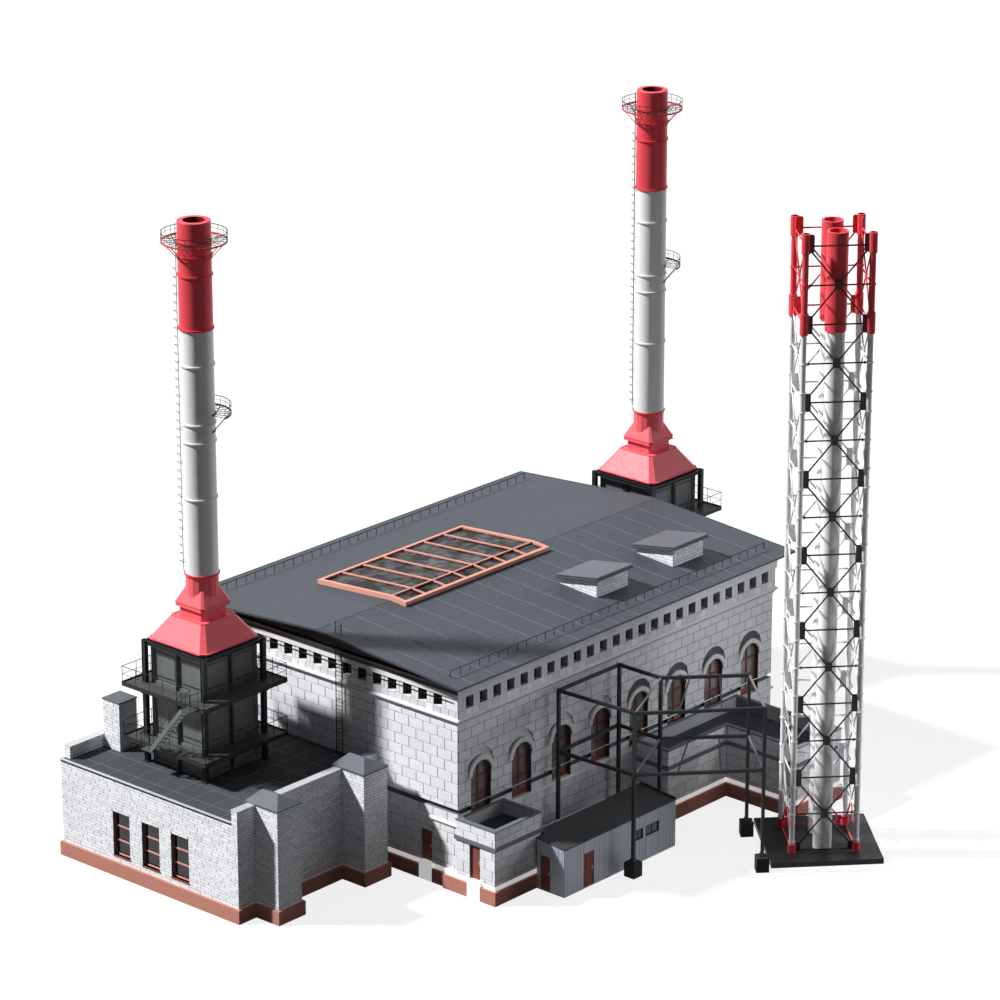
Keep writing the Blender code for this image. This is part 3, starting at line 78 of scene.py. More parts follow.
LOW_WALL_TOP, LOW_ROOF_Z, LOW_PARAPET_Z, LOW_PARAPET_T = 1.80, 2.05, 2.475, 0.14
SHED_X, SHED_Y, SHED_HEAD = (1.77, 7.16), (-2.84, -1.40), 1.175
SHED_ROOF_Z = (1.62, 1.76)
SHED_DOOR, SHED_END_DOOR = (2.69, 3.17), (-2.25, -1.85)
SHED_WINDOWS, SHED_WINDOW_Z, SHED_WINDOW_H = ((5.15, 5.55), (5.69, 6.335)), 0.80, 0.36
ANNEX_ROOF_Z, ANNEX_PARAPET_Z, ANNEX_T = 3.28, 3.70, 0.25
WEST_X, WEST_Y, EAST_X, EAST_Y = -6.275, 3.37, 20.25, 4.30
ANNEX_WINDOWS, ANNEX_SILL, ANNEX_HEAD = ((5.525, 6.29), (6.825, 7.585), (8.15, 8.885)), 0.70, 2.165
BUTTRESS_Y, BUTTRESS_TOP, BUTTRESS_RIDGE, BUTTRESS_BACK = 2.395, 3.735, 4.05, 3.72
BUTTRESSES, BACK_PARAPET_X = ((-5.525, -4.52), (-1.695, -0.655)), (-6.10, -4.15)
STACK_X, STACK_Y, STACK_TOP = (-4.65, -3.90), (10.20, 10.94), 4.95
BLOCK_H, BLOCK_L, BLOCK_JOINT, BLOCK_OUT = 0.3506, 0.60, 0.020, 0.010
BRICK_H, BRICK_L, BRICK_JOINT, BRICK_OUT, BRICK_FOOT = 0.105, 0.44, 0.013, 0.008, 0.468
SHEET_W, RIB_HALF = 0.30, 0.009
UNIT_Y, UNIT_X = 7.755, (-3.25, 18.345)
COLUMN_AT, CASING_HALF, CASING_TOP = 1.30, 1.165, 7.425
DECK_HALF, DECKS, RAIL_H, RAIL_PITCH = 1.825, (4.15, 5.95), 0.55, 0.60
STAIR_W, STAIR_Y = 0.36, (0.30, -1.20)
CHIMNEY_R, CHIMNEY_BORE, CHIMNEY_Z, CHIMNEY_TOP = 0.5225, 0.35, 9.56, 20.915
FLANGES = (12.105, 13.94, 14.525, 16.395, 17.55, 19.245, 19.865)
GALLERY_Z, GALLERY_R, GALLERY_RAIL, HALF_DECK_Z = 20.29, 1.0275, 0.26, 14.80
TOWER_AT, TOWER_TURN, TOWER_HALF = (10.35, -6.125), math.radians(47.5), 1.032
TOWER_BASE_H, TOWER_FIRST_Z, TOWER_BAY, TOWER_BAYS = 0.175, 0.24, 2.4875, 8
TOWER_TOP, LEG_R, SLEEVE_R, RED_Z = 20.535, 0.09, 0.135, 17.35
FLUES, FLUE_R, FLUE_RED_R, FLUE_TOP = ((-0.64, -0.012), (0.60, -0.064)), 0.30, 0.335, 20.50
TRESTLE = ((4.35, -0.33), (7.30, -0.33), (7.30, -2.05), (4.475, -3.35), (9.3493, -3.9902), (7.5000, -6.1002))
BEAMS, FOOTING_HALF, FOOTING_H = (3.425, 5.50), 0.205, 0.50

ROOF_SLOPE = (RIDGE_Z - EAVE_Z) / (HALL_W / 2 + OVERHANG)
UP = Vector((0, 0, 1))


def roof_top(y):
    return RIDGE_Z - abs(y - HALL_W / 2) * ROOF_SLOPE


# ---------------------------------------------------------------- shader groups
def node(tree, kind, inputs=None, **settings):
    """A node of one kind, whose inputs take a value or, where a socket is given, a link."""
    made = tree.nodes.new("ShaderNode" + kind)
    for label, value in settings.items():
        setattr(made, label, value)
    for label, value in (inputs or {}).items():
        if isinstance(value, bpy.types.NodeSocket):
            tree.links.new(value, made.inputs[label])
        else:
            made.inputs[label].default_value = value
    return made


def sums(tree, operation, *values):
    return node(tree, "Math", dict(enumerate(values)), operation=operation).outputs[0]


def ramp(tree, value, low, high, to_low=0.0, to_high=1.0):
    limits = {"From Min": low, "From Max": high, "To Min": to_low, "To Max": to_high}
    return node(tree, "MapRange", {"Value": value, **limits}).outputs["Result"]


def tint(tree, blend, factor, a, b):
    """One colour mixed with another, or multiplied by it."""
    return node(tree, "Mix", {"Factor": factor, "A": a, "B": b}, data_type="RGBA",
                blend_type=blend, clamp_factor=True).outputs["Result"]


def group(name, inputs, outputs):
    """A shader node group with named inputs and outputs."""
    tree = bpy.data.node_groups.new(name, "ShaderNodeTree")
    for label, value in inputs.items():
        socket = tree.interface.new_socket(label, in_out="INPUT", socket_type="NodeSocketFloat")
        socket.default_value = value
    for label in outputs:
        tree.interface.new_socket(label, in_out="OUTPUT", socket_type="NodeSocketFloat")
    return tree, tree.nodes.new("NodeGroupInput").outputs, tree.nodes.new("NodeGroupOutput").inputs


def build_uneven_tone():
    """Uneven tone: broad patches and fine grain, as one value round 1."""
    tree, ins, outs = group(
        "uneven_tone", {"Broad Scale": 0.6, "Fine Scale": 14.0, "Amount": 0.1}, ("Tone", "Grain"))
    place = node(tree, "TexCoord").outputs["Object"]
    broad = {"Vector": place, "Scale": ins["Broad Scale"], "Detail": 4.0}
    fine = {"Vector": place, "Scale": ins["Fine Scale"], "Detail": 5.0, "Roughness": 0.6}
    broad, fine = (node(tree, "TexNoise", kind).outputs["Fac"] for kind in (broad, fine))
    round_zero = sums(tree, "SUBTRACT", sums(tree, "ADD", broad, fine), 1.0)
    tree.links.new(sums(tree, "MULTIPLY_ADD", round_zero, ins["Amount"], 1.0), outs["Tone"])
    tree.links.new(fine, outs["Grain"])
    return tree


def build_rain_streaks():
    """Rain streaks: noise drawn out along the vertical, as a mask."""
    tree, ins, outs = group("rain_streaks", {"Scale": 5.0, "Cover": 0.5}, ("Streaks",))
    place = node(tree, "TexCoord").outputs["Object"]
    drawn = node(tree, "Mapping", {"Vector": place, "Scale": (1.0, 1.0, 0.07)}).outputs["Vector"]
    noise = node(tree, "TexNoise", {"Vector": drawn, "Scale": ins["Scale"], "Detail": 3.0}).outputs["Fac"]
    tree.links.new(sums(tree, "MULTIPLY", ramp(tree, noise, 0.5, 0.8), ins["Cover"]), outs["Streaks"])
    return tree


UNEVEN_TONE = build_uneven_tone()
RAIN_STREAKS = build_rain_streaks()


def finish(name, colour, rough, metal=0.0, amount=0.12, broad=0.6, fine=14.0, streak=None, cover=0.3,
           streak_scale=5.0, bump=0.15, bump_depth=0.004, own_tone=False, span=0.12, gloss=0.15,
           glow=0.0, ior=None):
    """A surface with uneven tone, streaks and grain: paint, stone, metal or dark glass."""
    made = bpy.data.materials.new(name)
    made.use_nodes = True
    made.diffuse_color = (*colour, 1.0)
    tree = made.node_tree
    patch = node(tree, "Group", node_tree=UNEVEN_TONE)
    for label, value in (("Broad Scale", broad), ("Fine Scale", fine), ("Amount", amount)):
        patch.inputs[label].default_value = value
    tone, grain = patch.outputs["Tone"], patch.outputs["Grain"]
    last = tint(tree, "MULTIPLY", 1.0, (*colour, 1.0), tone)
    if own_tone:
        last = tint(tree, "MULTIPLY", 1.0, last, node(tree, "Attribute", attribute_name="tone").outputs["Fac"])
    if streak:
        runs = node(tree, "Group", node_tree=RAIN_STREAKS)
        runs.inputs["Scale"].default_value = streak_scale
        runs.inputs["Cover"].default_value = cover
        last = tint(tree, "MIX", runs.outputs["Streaks"], last, (*streak, 1.0))
    spread = ramp(tree, grain, 0.3, 0.7, max(0.02, rough - span), min(1.0, rough + span))
    relief = node(tree, "Bump", {"Strength": bump, "Distance": bump_depth, "Height": grain}).outputs["Normal"]
    shader = tree.nodes["Principled BSDF"].inputs
    for label, socket in (("Base Color", last), ("Roughness", spread), ("Normal", relief)):
        tree.links.new(socket, shader[label])
    shader["Metallic"].default_value = metal
    shader["Specular IOR Level"].default_value = gloss
    shader["Emission Color"].default_value = (*colour, 1.0)
    shader["Emission Strength"].default_value = glow
    if ior:
        shader["IOR"].default_value = ior
    return made


DIRT = (0.42, 0.43, 0.44)
STONE = finish("white_ashlar", (0.83, 0.845, 0.88), 0.80, amount=0.07, broad=0.35, own_tone=True,
               streak=DIRT, cover=0.10, streak_scale=3.0)
STONE_TRIM = finish("white_stone_trim", (0.83, 0.845, 0.88), 0.75, amount=0.08, broad=0.5,
                    streak=DIRT, cover=0.12, streak_scale=4.0)
JOINTS = finish("grey_joints", (0.20, 0.215, 0.24), 0.90, amount=0.2, fine=30.0)
BRICK = finish("white_brick", (0.83, 0.85, 0.89), 0.82, broad=0.8, fine=22.0, own_tone=True)
BRICK_JOINTS = finish("brick_joints", (0.14, 0.15, 0.17), 0.90, amount=0.25, fine=40.0)
TERRACOTTA = finish("terracotta_plinth", (0.50, 0.215, 0.17), 0.82, amount=0.14, broad=0.7, fine=26.0,
                    streak=(0.30, 0.14, 0.11), cover=0.25)
CONCRETE = finish("pale_concrete", (0.86, 0.86, 0.86), 0.85, amount=0.08, fine=20.0)
# Painted light: the white band glows a little, so it stays white in shade.
GLOWING_BAND = finish("glowing_white_band", (0.86, 0.86, 0.86), 0.85, amount=0.06, fine=20.0, glow=0.45)
ROOFING = finish("grey_sheet_roofing", (0.054, 0.065, 0.079), 0.58, 0.1, 0.16, 0.25, 6.0,
                 streak=(0.08, 0.09, 0.10), span=0.08, gloss=0.3)
FELT = finish("roof_felt", (0.060, 0.066, 0.074), 0.85, amount=0.3, broad=0.8, fine=18.0, bump=0.4)
SALMON = finish("salmon_paint", (0.72, 0.34, 0.27), 0.50, amount=0.10, fine=18.0)
BROWN = finish("brown_red_paint", (0.26, 0.075, 0.055), 0.48, amount=0.18, fine=20.0)
STEEL = finish("dark_steel", (0.028, 0.031, 0.034), 0.48, 0.35, amount=0.3, fine=16.0)
CASING = finish("grey_casing_paint", (0.16, 0.172, 0.178), 0.50, 0.25, amount=0.2, broad=0.9,
                streak=(0.10, 0.10, 0.10), cover=0.5, streak_scale=4.0)
DECKING = finish("deck_plate", (0.10, 0.105, 0.11), 0.55, 0.35, amount=0.2, fine=20.0)
RED = finish("red_paint", (0.80, 0.075, 0.095), 0.38, amount=0.10, broad=0.9,
             streak=(0.55, 0.045, 0.06), streak_scale=4.0, bump=0.05)
# Painted shade: near-black red on the tower's near face and inside its leg tops.
SHADE_RED = finish("painted_shade_red", (0.045, 0.006, 0.009), 0.40, amount=0.15, fine=18.0)
HOOD_RED = finish("bright_red_paint", (0.88, 0.13, 0.16), 0.42, amount=0.08, broad=0.9,
                  streak=(0.60, 0.07, 0.09), streak_scale=4.0, bump=0.05, gloss=0.25)
WHITE = finish("white_paint", (0.85, 0.865, 0.88), 0.40, amount=0.05, broad=0.7,
               streak=(0.60, 0.61, 0.61), cover=0.2, streak_scale=3.5, bump=0.04, gloss=0.08)
TUBE = finish("silver_white_paint", (0.80, 0.815, 0.83), 0.40, amount=0.08, broad=0.9,
              streak=(0.38, 0.38, 0.38), bump=0.05)
CLADDING = finish("blue_grey_cladding", (0.40, 0.435, 0.49), 0.48, 0.25, broad=1.2,
                  streak=(0.26, 0.28, 0.31))
SHED_ROOFING = finish("shed_sheet_roof", (0.052, 0.055, 0.058), 0.55, 0.2, amount=0.25)
CAP_SHEET = finish("grey_cap_sheet", (0.125, 0.138, 0.158), 0.50, 0.25, amount=0.15)
CAP_EDGE = finish("cap_edge_sheet", (0.060, 0.066, 0.072), 0.55, 0.2, amount=0.2)
SEAM = finish("pale_seam", (0.215, 0.235, 0.255), 0.55, 0.1, amount=0.35, broad=2.5)
SOOT = finish("sooty_bore", (0.16, 0.012, 0.016), 0.85, amount=0.4)
DARK_CONCRETE = finish("dark_concrete", (0.030, 0.032, 0.035), 0.80, amount=0.25, fine=20.0)
LOW_METAL = finish("dark_cornice_metal", (0.16, 0.175, 0.19), 0.55, 0.1, amount=0.15)
# Painted shade: grey on the parapets' inner faces round the low roofs and on one cheek of the long walls' slots.
SHADE_LINING = finish("painted_shade_lining", (0.48, 0.50, 0.52), 0.80, amount=0.2, fine=20.0)
# Painted shade: mid-dark grey on the later windows' sunk crescents and on one cheek of the long walls' slots.
SHADE_GREY = finish("painted_shade_grey", (0.13, 0.14, 0.155), 0.85, fine=24.0)
# Painted shade: dark brown lining in the arched windows' reveals and the gable slots' cheeks.
SHADE_REVEAL = finish("painted_shade_reveal", (0.055, 0.034, 0.034), 0.75, amount=0.2, fine=24.0)
# Painted shade: dark brown-grey on the gable triangles and gable coves under the roof's overhang.
GABLE_SHADE = finish("painted_shade_gable", (0.065, 0.052, 0.054), 0.80, amount=0.2, fine=16.0)
GREY_BAR = finish("grey_steel_paint", (0.17, 0.18, 0.185), 0.55, 0.1, amount=0.15)
GALVANISED = finish("pale_edge_metal", (0.62, 0.64, 0.66), 0.40, 0.3, amount=0.1)
RIPPLED = {"broad": 1.4, "fine": 3.0, "bump": 0.05, "bump_depth": 0.01, "span": 0.05, "ior": 1.45}
# The window glass's grey is partly its own tone and partly painted reflection.
HALL_GLASS = finish("hall_window_glass", (0.23, 0.225, 0.228), 0.19, amount=0.9, gloss=0.5, **RIPPLED)
DARK_GLASS = finish("dark_window_glass", (0.012, 0.012, 0.013), 0.11, amount=0.9, gloss=0.5, **RIPPLED)
SKY_GLASS = finish("skylight_glass", (0.032, 0.033, 0.035), 0.12, amount=9.0, gloss=0.05, **RIPPLED)


# ---------------------------------------------------------------- mesh tools
SIDES = {
    "south": ((1, 0, 0), (0, -1, 0)), "east": ((0, 1, 0), (1, 0, 0)),
    "north": ((-1, 0, 0), (0, 1, 0)), "west": ((0, -1, 0), (-1, 0, 0)),
    "north, from the west": ((1, 0, 0), (0, 1, 0)), "west, from the south": ((0, 1, 0), (-1, 0, 0)),
}


class Wall:
    """An upright face that starts at one corner: u along it, v up it and d out from it."""

    def __init__(self, side, x, y, z=0.0, out=0.0):
        self.across, self.out = (Vector(way) for way in SIDES[side])
        self.origin = Vector((x, y, z)) + self.out * out

    def at(self, u, v, d):
        return self.origin + self.across * u + Vector((0, 0, v)) + self.out * d


def arc(x, z, radius, start, sweep, steps):
    """Points (x, z) along part of a circle."""
    turns = [start + sweep * i / steps for i in range(steps + 1)]
    return [(x + radius * math.cos(a), z + radius * math.sin(a)) for a in turns]


def square(half, z):
    return [(-half, -half, z), (half, -half, z), (half, half, z), (-half, half, z)]


def octagon(a, b, cut, x=0.0, y=0.0):
    """A rectangle of half sides a and b round (x, y), its corners cut off."""
    return [(x + u, y + v) for u, v in (
        (a, cut - b), (a, b - cut), (a - cut, b), (cut - a, b),
        (-a, b - cut), (-a, cut - b), (cut - a, -b), (a - cut, -b))]


class Maker:
    """Gathers faces for one piece, with a material index and a tone per face."""

    def __init__(self, name, *surfaces):
        self.name, self.surfaces = name, surfaces
        self.bm = bmesh.new()
        self.tone = self.bm.faces.layers.float.new("tone")
        self.move = Matrix.Identity(4)

    def skin(self, rings, slot=0, tone=1.0, smooth=False, caps=True, loop=False):
        """Skin through rings of equal length, with closed ends or run round in a loop."""
        rows = [[self.bm.verts.new(self.move @ Vector(p)) for p in ring] for ring in rings]
        pairs = list(zip(rows, rows[1:])) + ([(rows[-1], rows[0])] if loop else [])
        made = []
        for low, high in pairs:
            for i in range(len(low)):
                j = (i + 1) % len(low)
                made.append(self.bm.faces.new((low[i], low[j], high[j], high[i])))
        for f in made:
            f.smooth = smooth
        if caps and not loop:
            made += [self.bm.faces.new(rows[0][::-1]), self.bm.faces.new(rows[-1])]
        for f in made:
            f.material_index = slot
            f[self.tone] = tone

    def face(self, points, slot=0):
        made = self.bm.faces.new([self.bm.verts.new(self.move @ Vector(p)) for p in points])
        made.material_index = slot
        made[self.tone] = 1.0

    def box(self, x0, x1, y0, y1, z0, z1, slot=0):
        self.skin([[(x0, y0, z), (x1, y0, z), (x1, y1, z), (x0, y1, z)] for z in (z0, z1)], slot)

    def bar(self, start, end, width, depth=None, slot=0):
        start, end = Vector(start), Vector(end)
        along = (end - start).normalized()
        side = along.cross(Vector((0, 1, 0)) if abs(along.z) > 0.99 else UP).normalized() * width / 2
        top = side.cross(along).normalized() * (depth or width) / 2
        self.skin([[p + c for c in (side + top, side - top, -side - top, top - side)] for p in (start, end)], slot)

    def tube(self, start, end, radius, sides=8, slot=0):
        start, end = Vector(start), Vector(end)
        along = (end - start).normalized()
        side = along.orthogonal().normalized()
        top = along.cross(side)
        circle = arc(0, 0, 1, 0, math.tau, sides)[:-1]
        self.skin([[p + (side * a + top * b) * radius for a, b in circle] for p in (start, end)], slot, 1.0, True)

    def turned(self, profile, sides, slots, at=(0.0, 0.0), loop=False):
        """Profile of (radius, height) turned about an upright axis, sharp between its points."""
        pairs = list(zip(profile, profile[1:])) + ([(profile[-1], profile[0])] if loop else [])
        for slot, pair in zip(slots, pairs):
            rings = [[(x, y, z) for x, y in arc(*at, r, 0, math.tau, sides)[:-1]] for r, z in pair]
            self.skin(rings, slot, 1.0, abs(pair[0][1] - pair[1][1]) >= 1e-9, caps=False)

    def hoop(self, z, radius, thick, tall, sides, slot, start, sweep):
        """A flat-section ring, or part of one, lying level round the axis."""
        whole = abs(sweep - math.tau) < 1e-6
        rings = []
        for i in range(sides if whole else sides + 1):
            a = start + sweep * i / sides
            rings.append([((radius + dr) * math.cos(a), (radius + dr) * math.sin(a), z + dz) for dr, dz in (
                (-thick / 2, -tall / 2), (thick / 2, -tall / 2), (thick / 2, tall / 2), (-thick / 2, tall / 2))])
        self.skin(rings, slot, caps=not whole, loop=whole)

    def prism(self, outline, axis, low, high, slot=0):
        """An outline of (y, z) points run along X, or of (x, z) points run along Y."""
        put = (lambda a, b, c: (c, a, b)) if axis == "X" else (lambda a, b, c: (a, c, b))
        self.skin([[put(a, b, c) for a, b in outline] for c in (low, high)], slot)

    def mesh(self):
        bmesh.ops.recalc_face_normals(self.bm, faces=self.bm.faces)
        mesh = bpy.data.meshes.new(self.name)
        self.bm.to_mesh(mesh)
        self.bm.free()
        for surface in self.surfaces:
            mesh.materials.append(surface)
        return mesh

    def done(self, replaces=(), body="building"):
        made = placed(self.name, self.mesh())
        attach(made, body)
        if replaces:
            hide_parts(*replaces)
        return made


def placed(name, data, location=(0, 0, 0)):
    made = bpy.data.objects.new(name, data)
    bpy.context.scene.collection.objects.link(made)
    made.location = location
    return made


def cut(piece, cutters):
    """Takes the cutters' shapes out of a piece."""
    bpy.context.view_layer.update()
    tools = bpy.data.collections.new("cutters")
    bpy.context.scene.collection.children.link(tools)
    for mesh in cutters:
        tools.objects.link(bpy.data.objects.new("cutter", mesh))
    modifier = piece.modifiers.new("Boolean", "BOOLEAN")
    modifier.operation = "DIFFERENCE"
    modifier.solver = "EXACT"
    modifier.operand_type = "COLLECTION"
    modifier.collection = tools
    result = bpy.data.meshes.new_from_object(piece.evaluated_get(bpy.context.evaluated_depsgraph_get()))
    piece.modifiers.remove(modifier)
    old, piece.data = piece.data, result
    bpy.data.meshes.remove(old)
    for tool in list(tools.objects):
        bpy.data.objects.remove(tool, do_unlink=True)
    bpy.data.collections.remove(tools)


def sides_of(outline):
    return zip(outline, outline[1:] + outline[:1])


def clip(outline, a, b, c):
    """The part of a convex outline where a*u + b*v <= c."""
    kept = []
    for p, q in sides_of(outline):
        dp, dq = a * p[0] + b * p[1] - c, a * q[0] + b * q[1] - c
        if dp <= 0:
            kept.append(p)
        if (dp < 0 < dq) or (dq < 0 < dp):
            t = dp / (dp - dq)
            kept.append((p[0] + (q[0] - p[0]) * t, p[1] + (q[1] - p[1]) * t))
    return kept


def shrunk(outline, amount):
    """A convex outline, every side moved inward."""
    lines = []
    for p, q in sides_of(outline):
        size = math.hypot(q[0] - p[0], q[1] - p[1])
        if size > 1e-6:
            nx, ny = (p[1] - q[1]) / size, (q[0] - p[0]) / size
            lines.append((nx, ny, nx * p[0] + ny * p[1] + amount))
    made = []
    for (a1, b1, c1), (a2, b2, c2) in zip(lines[-1:] + lines, lines):
        det = a1 * b2 - a2 * b1
        if abs(det) < 1e-9:
            return None
        made.append(((c1 * b2 - c2 * b1) / det, (a1 * c2 - a2 * c1) / det))
    return made


def area(outline):
    return sum(p[0] * q[1] - q[0] * p[1] for p, q in sides_of(outline)) / 2


def without(rects, hole):
    """Rectangles (u0, u1, v0, v1) with a rectangular hole taken out."""
    made = []
    h0, h1, g0, g1 = hole
    for u0, u1, v0, v1 in rects:
        if h0 >= u1 or h1 <= u0 or g0 >= v1 or g1 <= v0:
            made.append((u0, u1, v0, v1))
            continue
        left, right = max(u0, h0), min(u1, h1)
        pieces = ((u0, h0, v0, v1), (h1, u1, v0, v1), (left, right, v0, g0), (left, right, g1, v1))
        made += [rect for rect in pieces if rect[1] > rect[0] and rect[3] > rect[2]]
    return made


def chance(*keys):
    """A repeatable number from 0 to 1 for a place in the wall."""
    value = math.sin(sum((i + 1) * 12.9898 * key for i, key in enumerate(keys))) * 43758.5453
    return value - math.floor(value)


def lay(maker, wall, u0, u1, v0, v1, height, length, joint, proud, holes=(), planes=(), shift=0.0,
        bed=None, spread=0.04, uneven=0.0, slot=0, seed=0.0, bevel=0.005, bond=0.5):
    """Courses of blocks on one wall face: real blocks with chamfered edges."""
    bed = v0 if bed is None else bed
    k = math.floor((v0 - bed) / height)
    while bed + k * height < v1 - 1e-6:
        low, high = max(bed + k * height, v0), min(bed + (k + 1) * height, v1)
        phase = shift + (length * bond if k % 2 else 0.0)
        i = math.floor((u0 - phase) / length) - 1
        edges = []
        while phase + i * length < u1 + length:
            edges.append(phase + i * length + uneven * length * (chance(i, k, seed) - 0.5))
            i += 1
        for j, (a, b) in enumerate(zip(edges, edges[1:])):
            left, right = max(a, u0), min(b, u1)
            if right - left < joint * 1.6 or high - low < joint * 1.6:
                continue
            tone = 1.0 + spread * (chance(j, k * 3.1, seed + 5.0) - 0.5) * 2
            rects = [(left, right, low, high)]
            for hole in holes:
                rects = without(rects, hole)
            for r0, r1, s0, s1 in rects:
                outline = [(r0, s0), (r1, s0), (r1, s1), (r0, s1)]
                for plane in planes:
                    outline = clip(outline, *plane)
                if len(outline) < 3 or area(outline) < joint * joint * 3:
                    continue
                foot, top = shrunk(outline, joint / 2), shrunk(outline, joint / 2 + bevel)
                if not foot or not top or len(foot) != len(top):
                    continue
                if min(area(foot), area(top)) < joint * joint or area(top) > area(foot):
                    continue
                rings = ((foot, -0.004), (foot, proud - bevel), (top, proud))
                maker.skin([[wall.at(u, v, d) for u, v in ring] for ring, d in rings], slot, tone)
        k += 1


def bricks(maker, wall, u0, u1, v0, v1, holes=(), planes=(), seed=0.0):
    lay(maker, wall, u0, u1, v0, v1, BRICK_H, BRICK_L, BRICK_JOINT, BRICK_OUT, holes, planes,
        spread=0.09, uneven=0.55, seed=seed, bevel=0.003)


def plate(maker, wall, u0, u1, v0, v1, d0, d1, slot=0):
    """A flat plate on a wall face: along it, up it, and out from it."""
    corners = ((u0, v0), (u1, v0), (u1, v1), (u0, v1))
    maker.skin([[wall.at(u, v, d) for u, v in corners] for d in (d0, d1)], slot)


def railing(maker, start, end, height, pitch, thick=0.018, middle=True):
    """Posts with a top rail and a middle rail."""
    start, end = Vector(start), Vector(end)
    count = max(1, round((end - start).length / pitch))
    for i in range(count + 1):
        spot = start.lerp(end, i / count)
        maker.bar(spot, spot + UP * height, thick * 0.8)
    for share, size in ((1.0, 1.0), (0.52, 0.7))[:2 if middle else 1]:
        maker.bar(start + UP * height * share, end + UP * height * share, thick * size)


def ladder(maker, foot, top, across, width, step, thick):
    foot, top, reach = Vector(foot), Vector(top), Vector(across) * width / 2
    for side in (-reach, reach):
        maker.bar(foot + side, top + side, thick)
    count = int((top - foot).length / step)
    for i in range(1, count):
        spot = foot.lerp(top, i / count)
        maker.tube(spot - reach, spot + reach, thick * 0.36, 6)


def dress(surface, names):
    """Gives CAD nodes a better material."""
    for name in names.split():
        data = nodes[name].data
        if not data.materials:
            data.materials.append(surface)
        for i in range(len(data.materials)):
            data.materials[i] = surface


# ---------------------------------------------------------------- camera, stage, light
camera = placed("camera", bpy.data.cameras.new("camera"), (-92.89, -84.605, 57.18))
camera.rotation_euler = (math.radians(70.589), 0.0, math.radians(-48.265))
camera.data.lens = 158.77
camera.data.sensor_width = 36.0
camera.data.clip_end = 1200.0
bpy.context.scene.camera = camera


def seen_or_thrown(tree, seen, thrown, output):
    """One shader where the eye, a mirror or clear glass looks, and another for light that bounces."""
    path = node(tree, "LightPath").outputs
    looks = path["Is Camera Ray"]
    for kind in ("Is Glossy Ray", "Is Transmission Ray"):
        looks = sums(tree, "MAXIMUM", looks, path[kind])
    choice = node(tree, "MixShader", {"Fac": looks, 1: thrown.outputs[0], 2: seen.outputs[0]})
    tree.links.new(choice.outputs[0], tree.nodes[output].inputs["Surface"])


def floor_material():
    """Pale floor that reads as the white background, keeps the shadow and throws little light back."""
    made = bpy.data.materials.new("pale_floor")
    made.use_nodes = True
    tree = made.node_tree
    quiet = tree.nodes["Principled BSDF"]
    pale = node(tree, "BsdfPrincipled", {"Emission Color": (1.0, 1.0, 1.0, 1.0), "Emission Strength": 0.83})
    for shader, tone in ((quiet, 0.06), (pale, 0.17)):
        shader.inputs["Base Color"].default_value = (tone, tone, tone, 1.0)
        shader.inputs["Roughness"].default_value = 1.0
    seen_or_thrown(tree, pale, quiet, "Material Output")
    return made


FLOOR_HALF = 700.0
floor_mesh = bpy.data.meshes.new("floor")
floor_mesh.from_pydata(square(FLOOR_HALF, 0), [], [(0, 1, 2, 3)])
floor_mesh.materials.append(floor_material())
floor = placed("floor", floor_mesh)

world = bpy.data.worlds.new("studio")
bpy.context.scene.world = world
world.use_nodes = True
fill_light = world.node_tree.nodes["Background"]
fill_light.inputs["Color"].default_value = (0.93, 0.96, 1.0, 1.0)
fill_light.inputs["Strength"].default_value = 0.030
white = node(world.node_tree, "Background", {"Color": (1.0, 1.0, 1.0, 1.0), "Strength": 1.0})
seen_or_thrown(world.node_tree, white, fill_light, "World Output")


def lamp(name, kind, place, towards, energy, **looks):
    """A studio lamp at one place that shines along a direction."""
    made = placed(name, bpy.data.lights.new(name, kind), place)
    made.rotation_euler = Vector(towards).to_track_quat("-Z", "Y").to_euler()
    made.data.energy = energy
    for label, value in looks.items():
        setattr(made.data, label, value)
    return made


key, side = Vector((0.468, -0.547, -0.695)), Vector((-0.95, 0.20, -0.22))
lamp("key_light", "SUN", key * -60.0, key, 5.9, angle=math.radians(4.0), color=(1.0, 0.99, 0.975))
lamp("side_light", "SUN", side * -60.0, side, 1.15, angle=math.radians(14.0), color=(0.97, 0.98, 1.0))
lamp("front_lamp", "AREA", (14.5, -14.0, 8.0), (-5.5, 14.0, -4.0), 460.0, size=4.0).visible_camera = False

bpy.context.scene.view_settings.view_transform = "Standard"

# ---------------------------------------------------------------- finishes of the frame's own nodes
for surface, names in (
    (JOINTS, "hall_front_wall hall_back_wall hall_east_gable hall_west_gable hall_west_base_south"
             " hall_west_base_north porch_wall porch_jamb wing_wall_west wing_wall_east porch_roof wing_roof"),
    (TERRACOTTA, "plinth"),
    (GLOWING_BAND, "ground_slab"),
    (CONCRETE, "shed_floor"),
    (ROOFING, "hall_roof"),
    (FELT, "west_annex_roof east_annex_roof"),
    (BRICK_JOINTS, "west_annex_walls east_annex_walls"),
    (SALMON, "skylight_frame"),
    (SKY_GLASS, "skylight_glass"),
    (DARK_GLASS, "hall_slot_glass west_annex_glass east_annex_glass shed_glass"),
    (STEEL, "eave_guard_front eave_guard_back tower_base west_gallery east_gallery"),
    (DECKING, "west_casing_frame east_casing_frame"),
    (CASING, "west_casing east_casing"),
    (HOOD_RED, "west_hood east_hood"),
    (CLADDING, "shed_wall_corner shed_wall_long"),
    (SHED_ROOFING, "shed_roof"),
    (BROWN, "hall_side_door porch_door wing_door shed_front_door shed_end_door"),
    (TUBE, "tower_frame_front tower_frame_back tower_bracing_right tower_bracing_left flue_front flue_rear"),
):
    dress(surface, names)

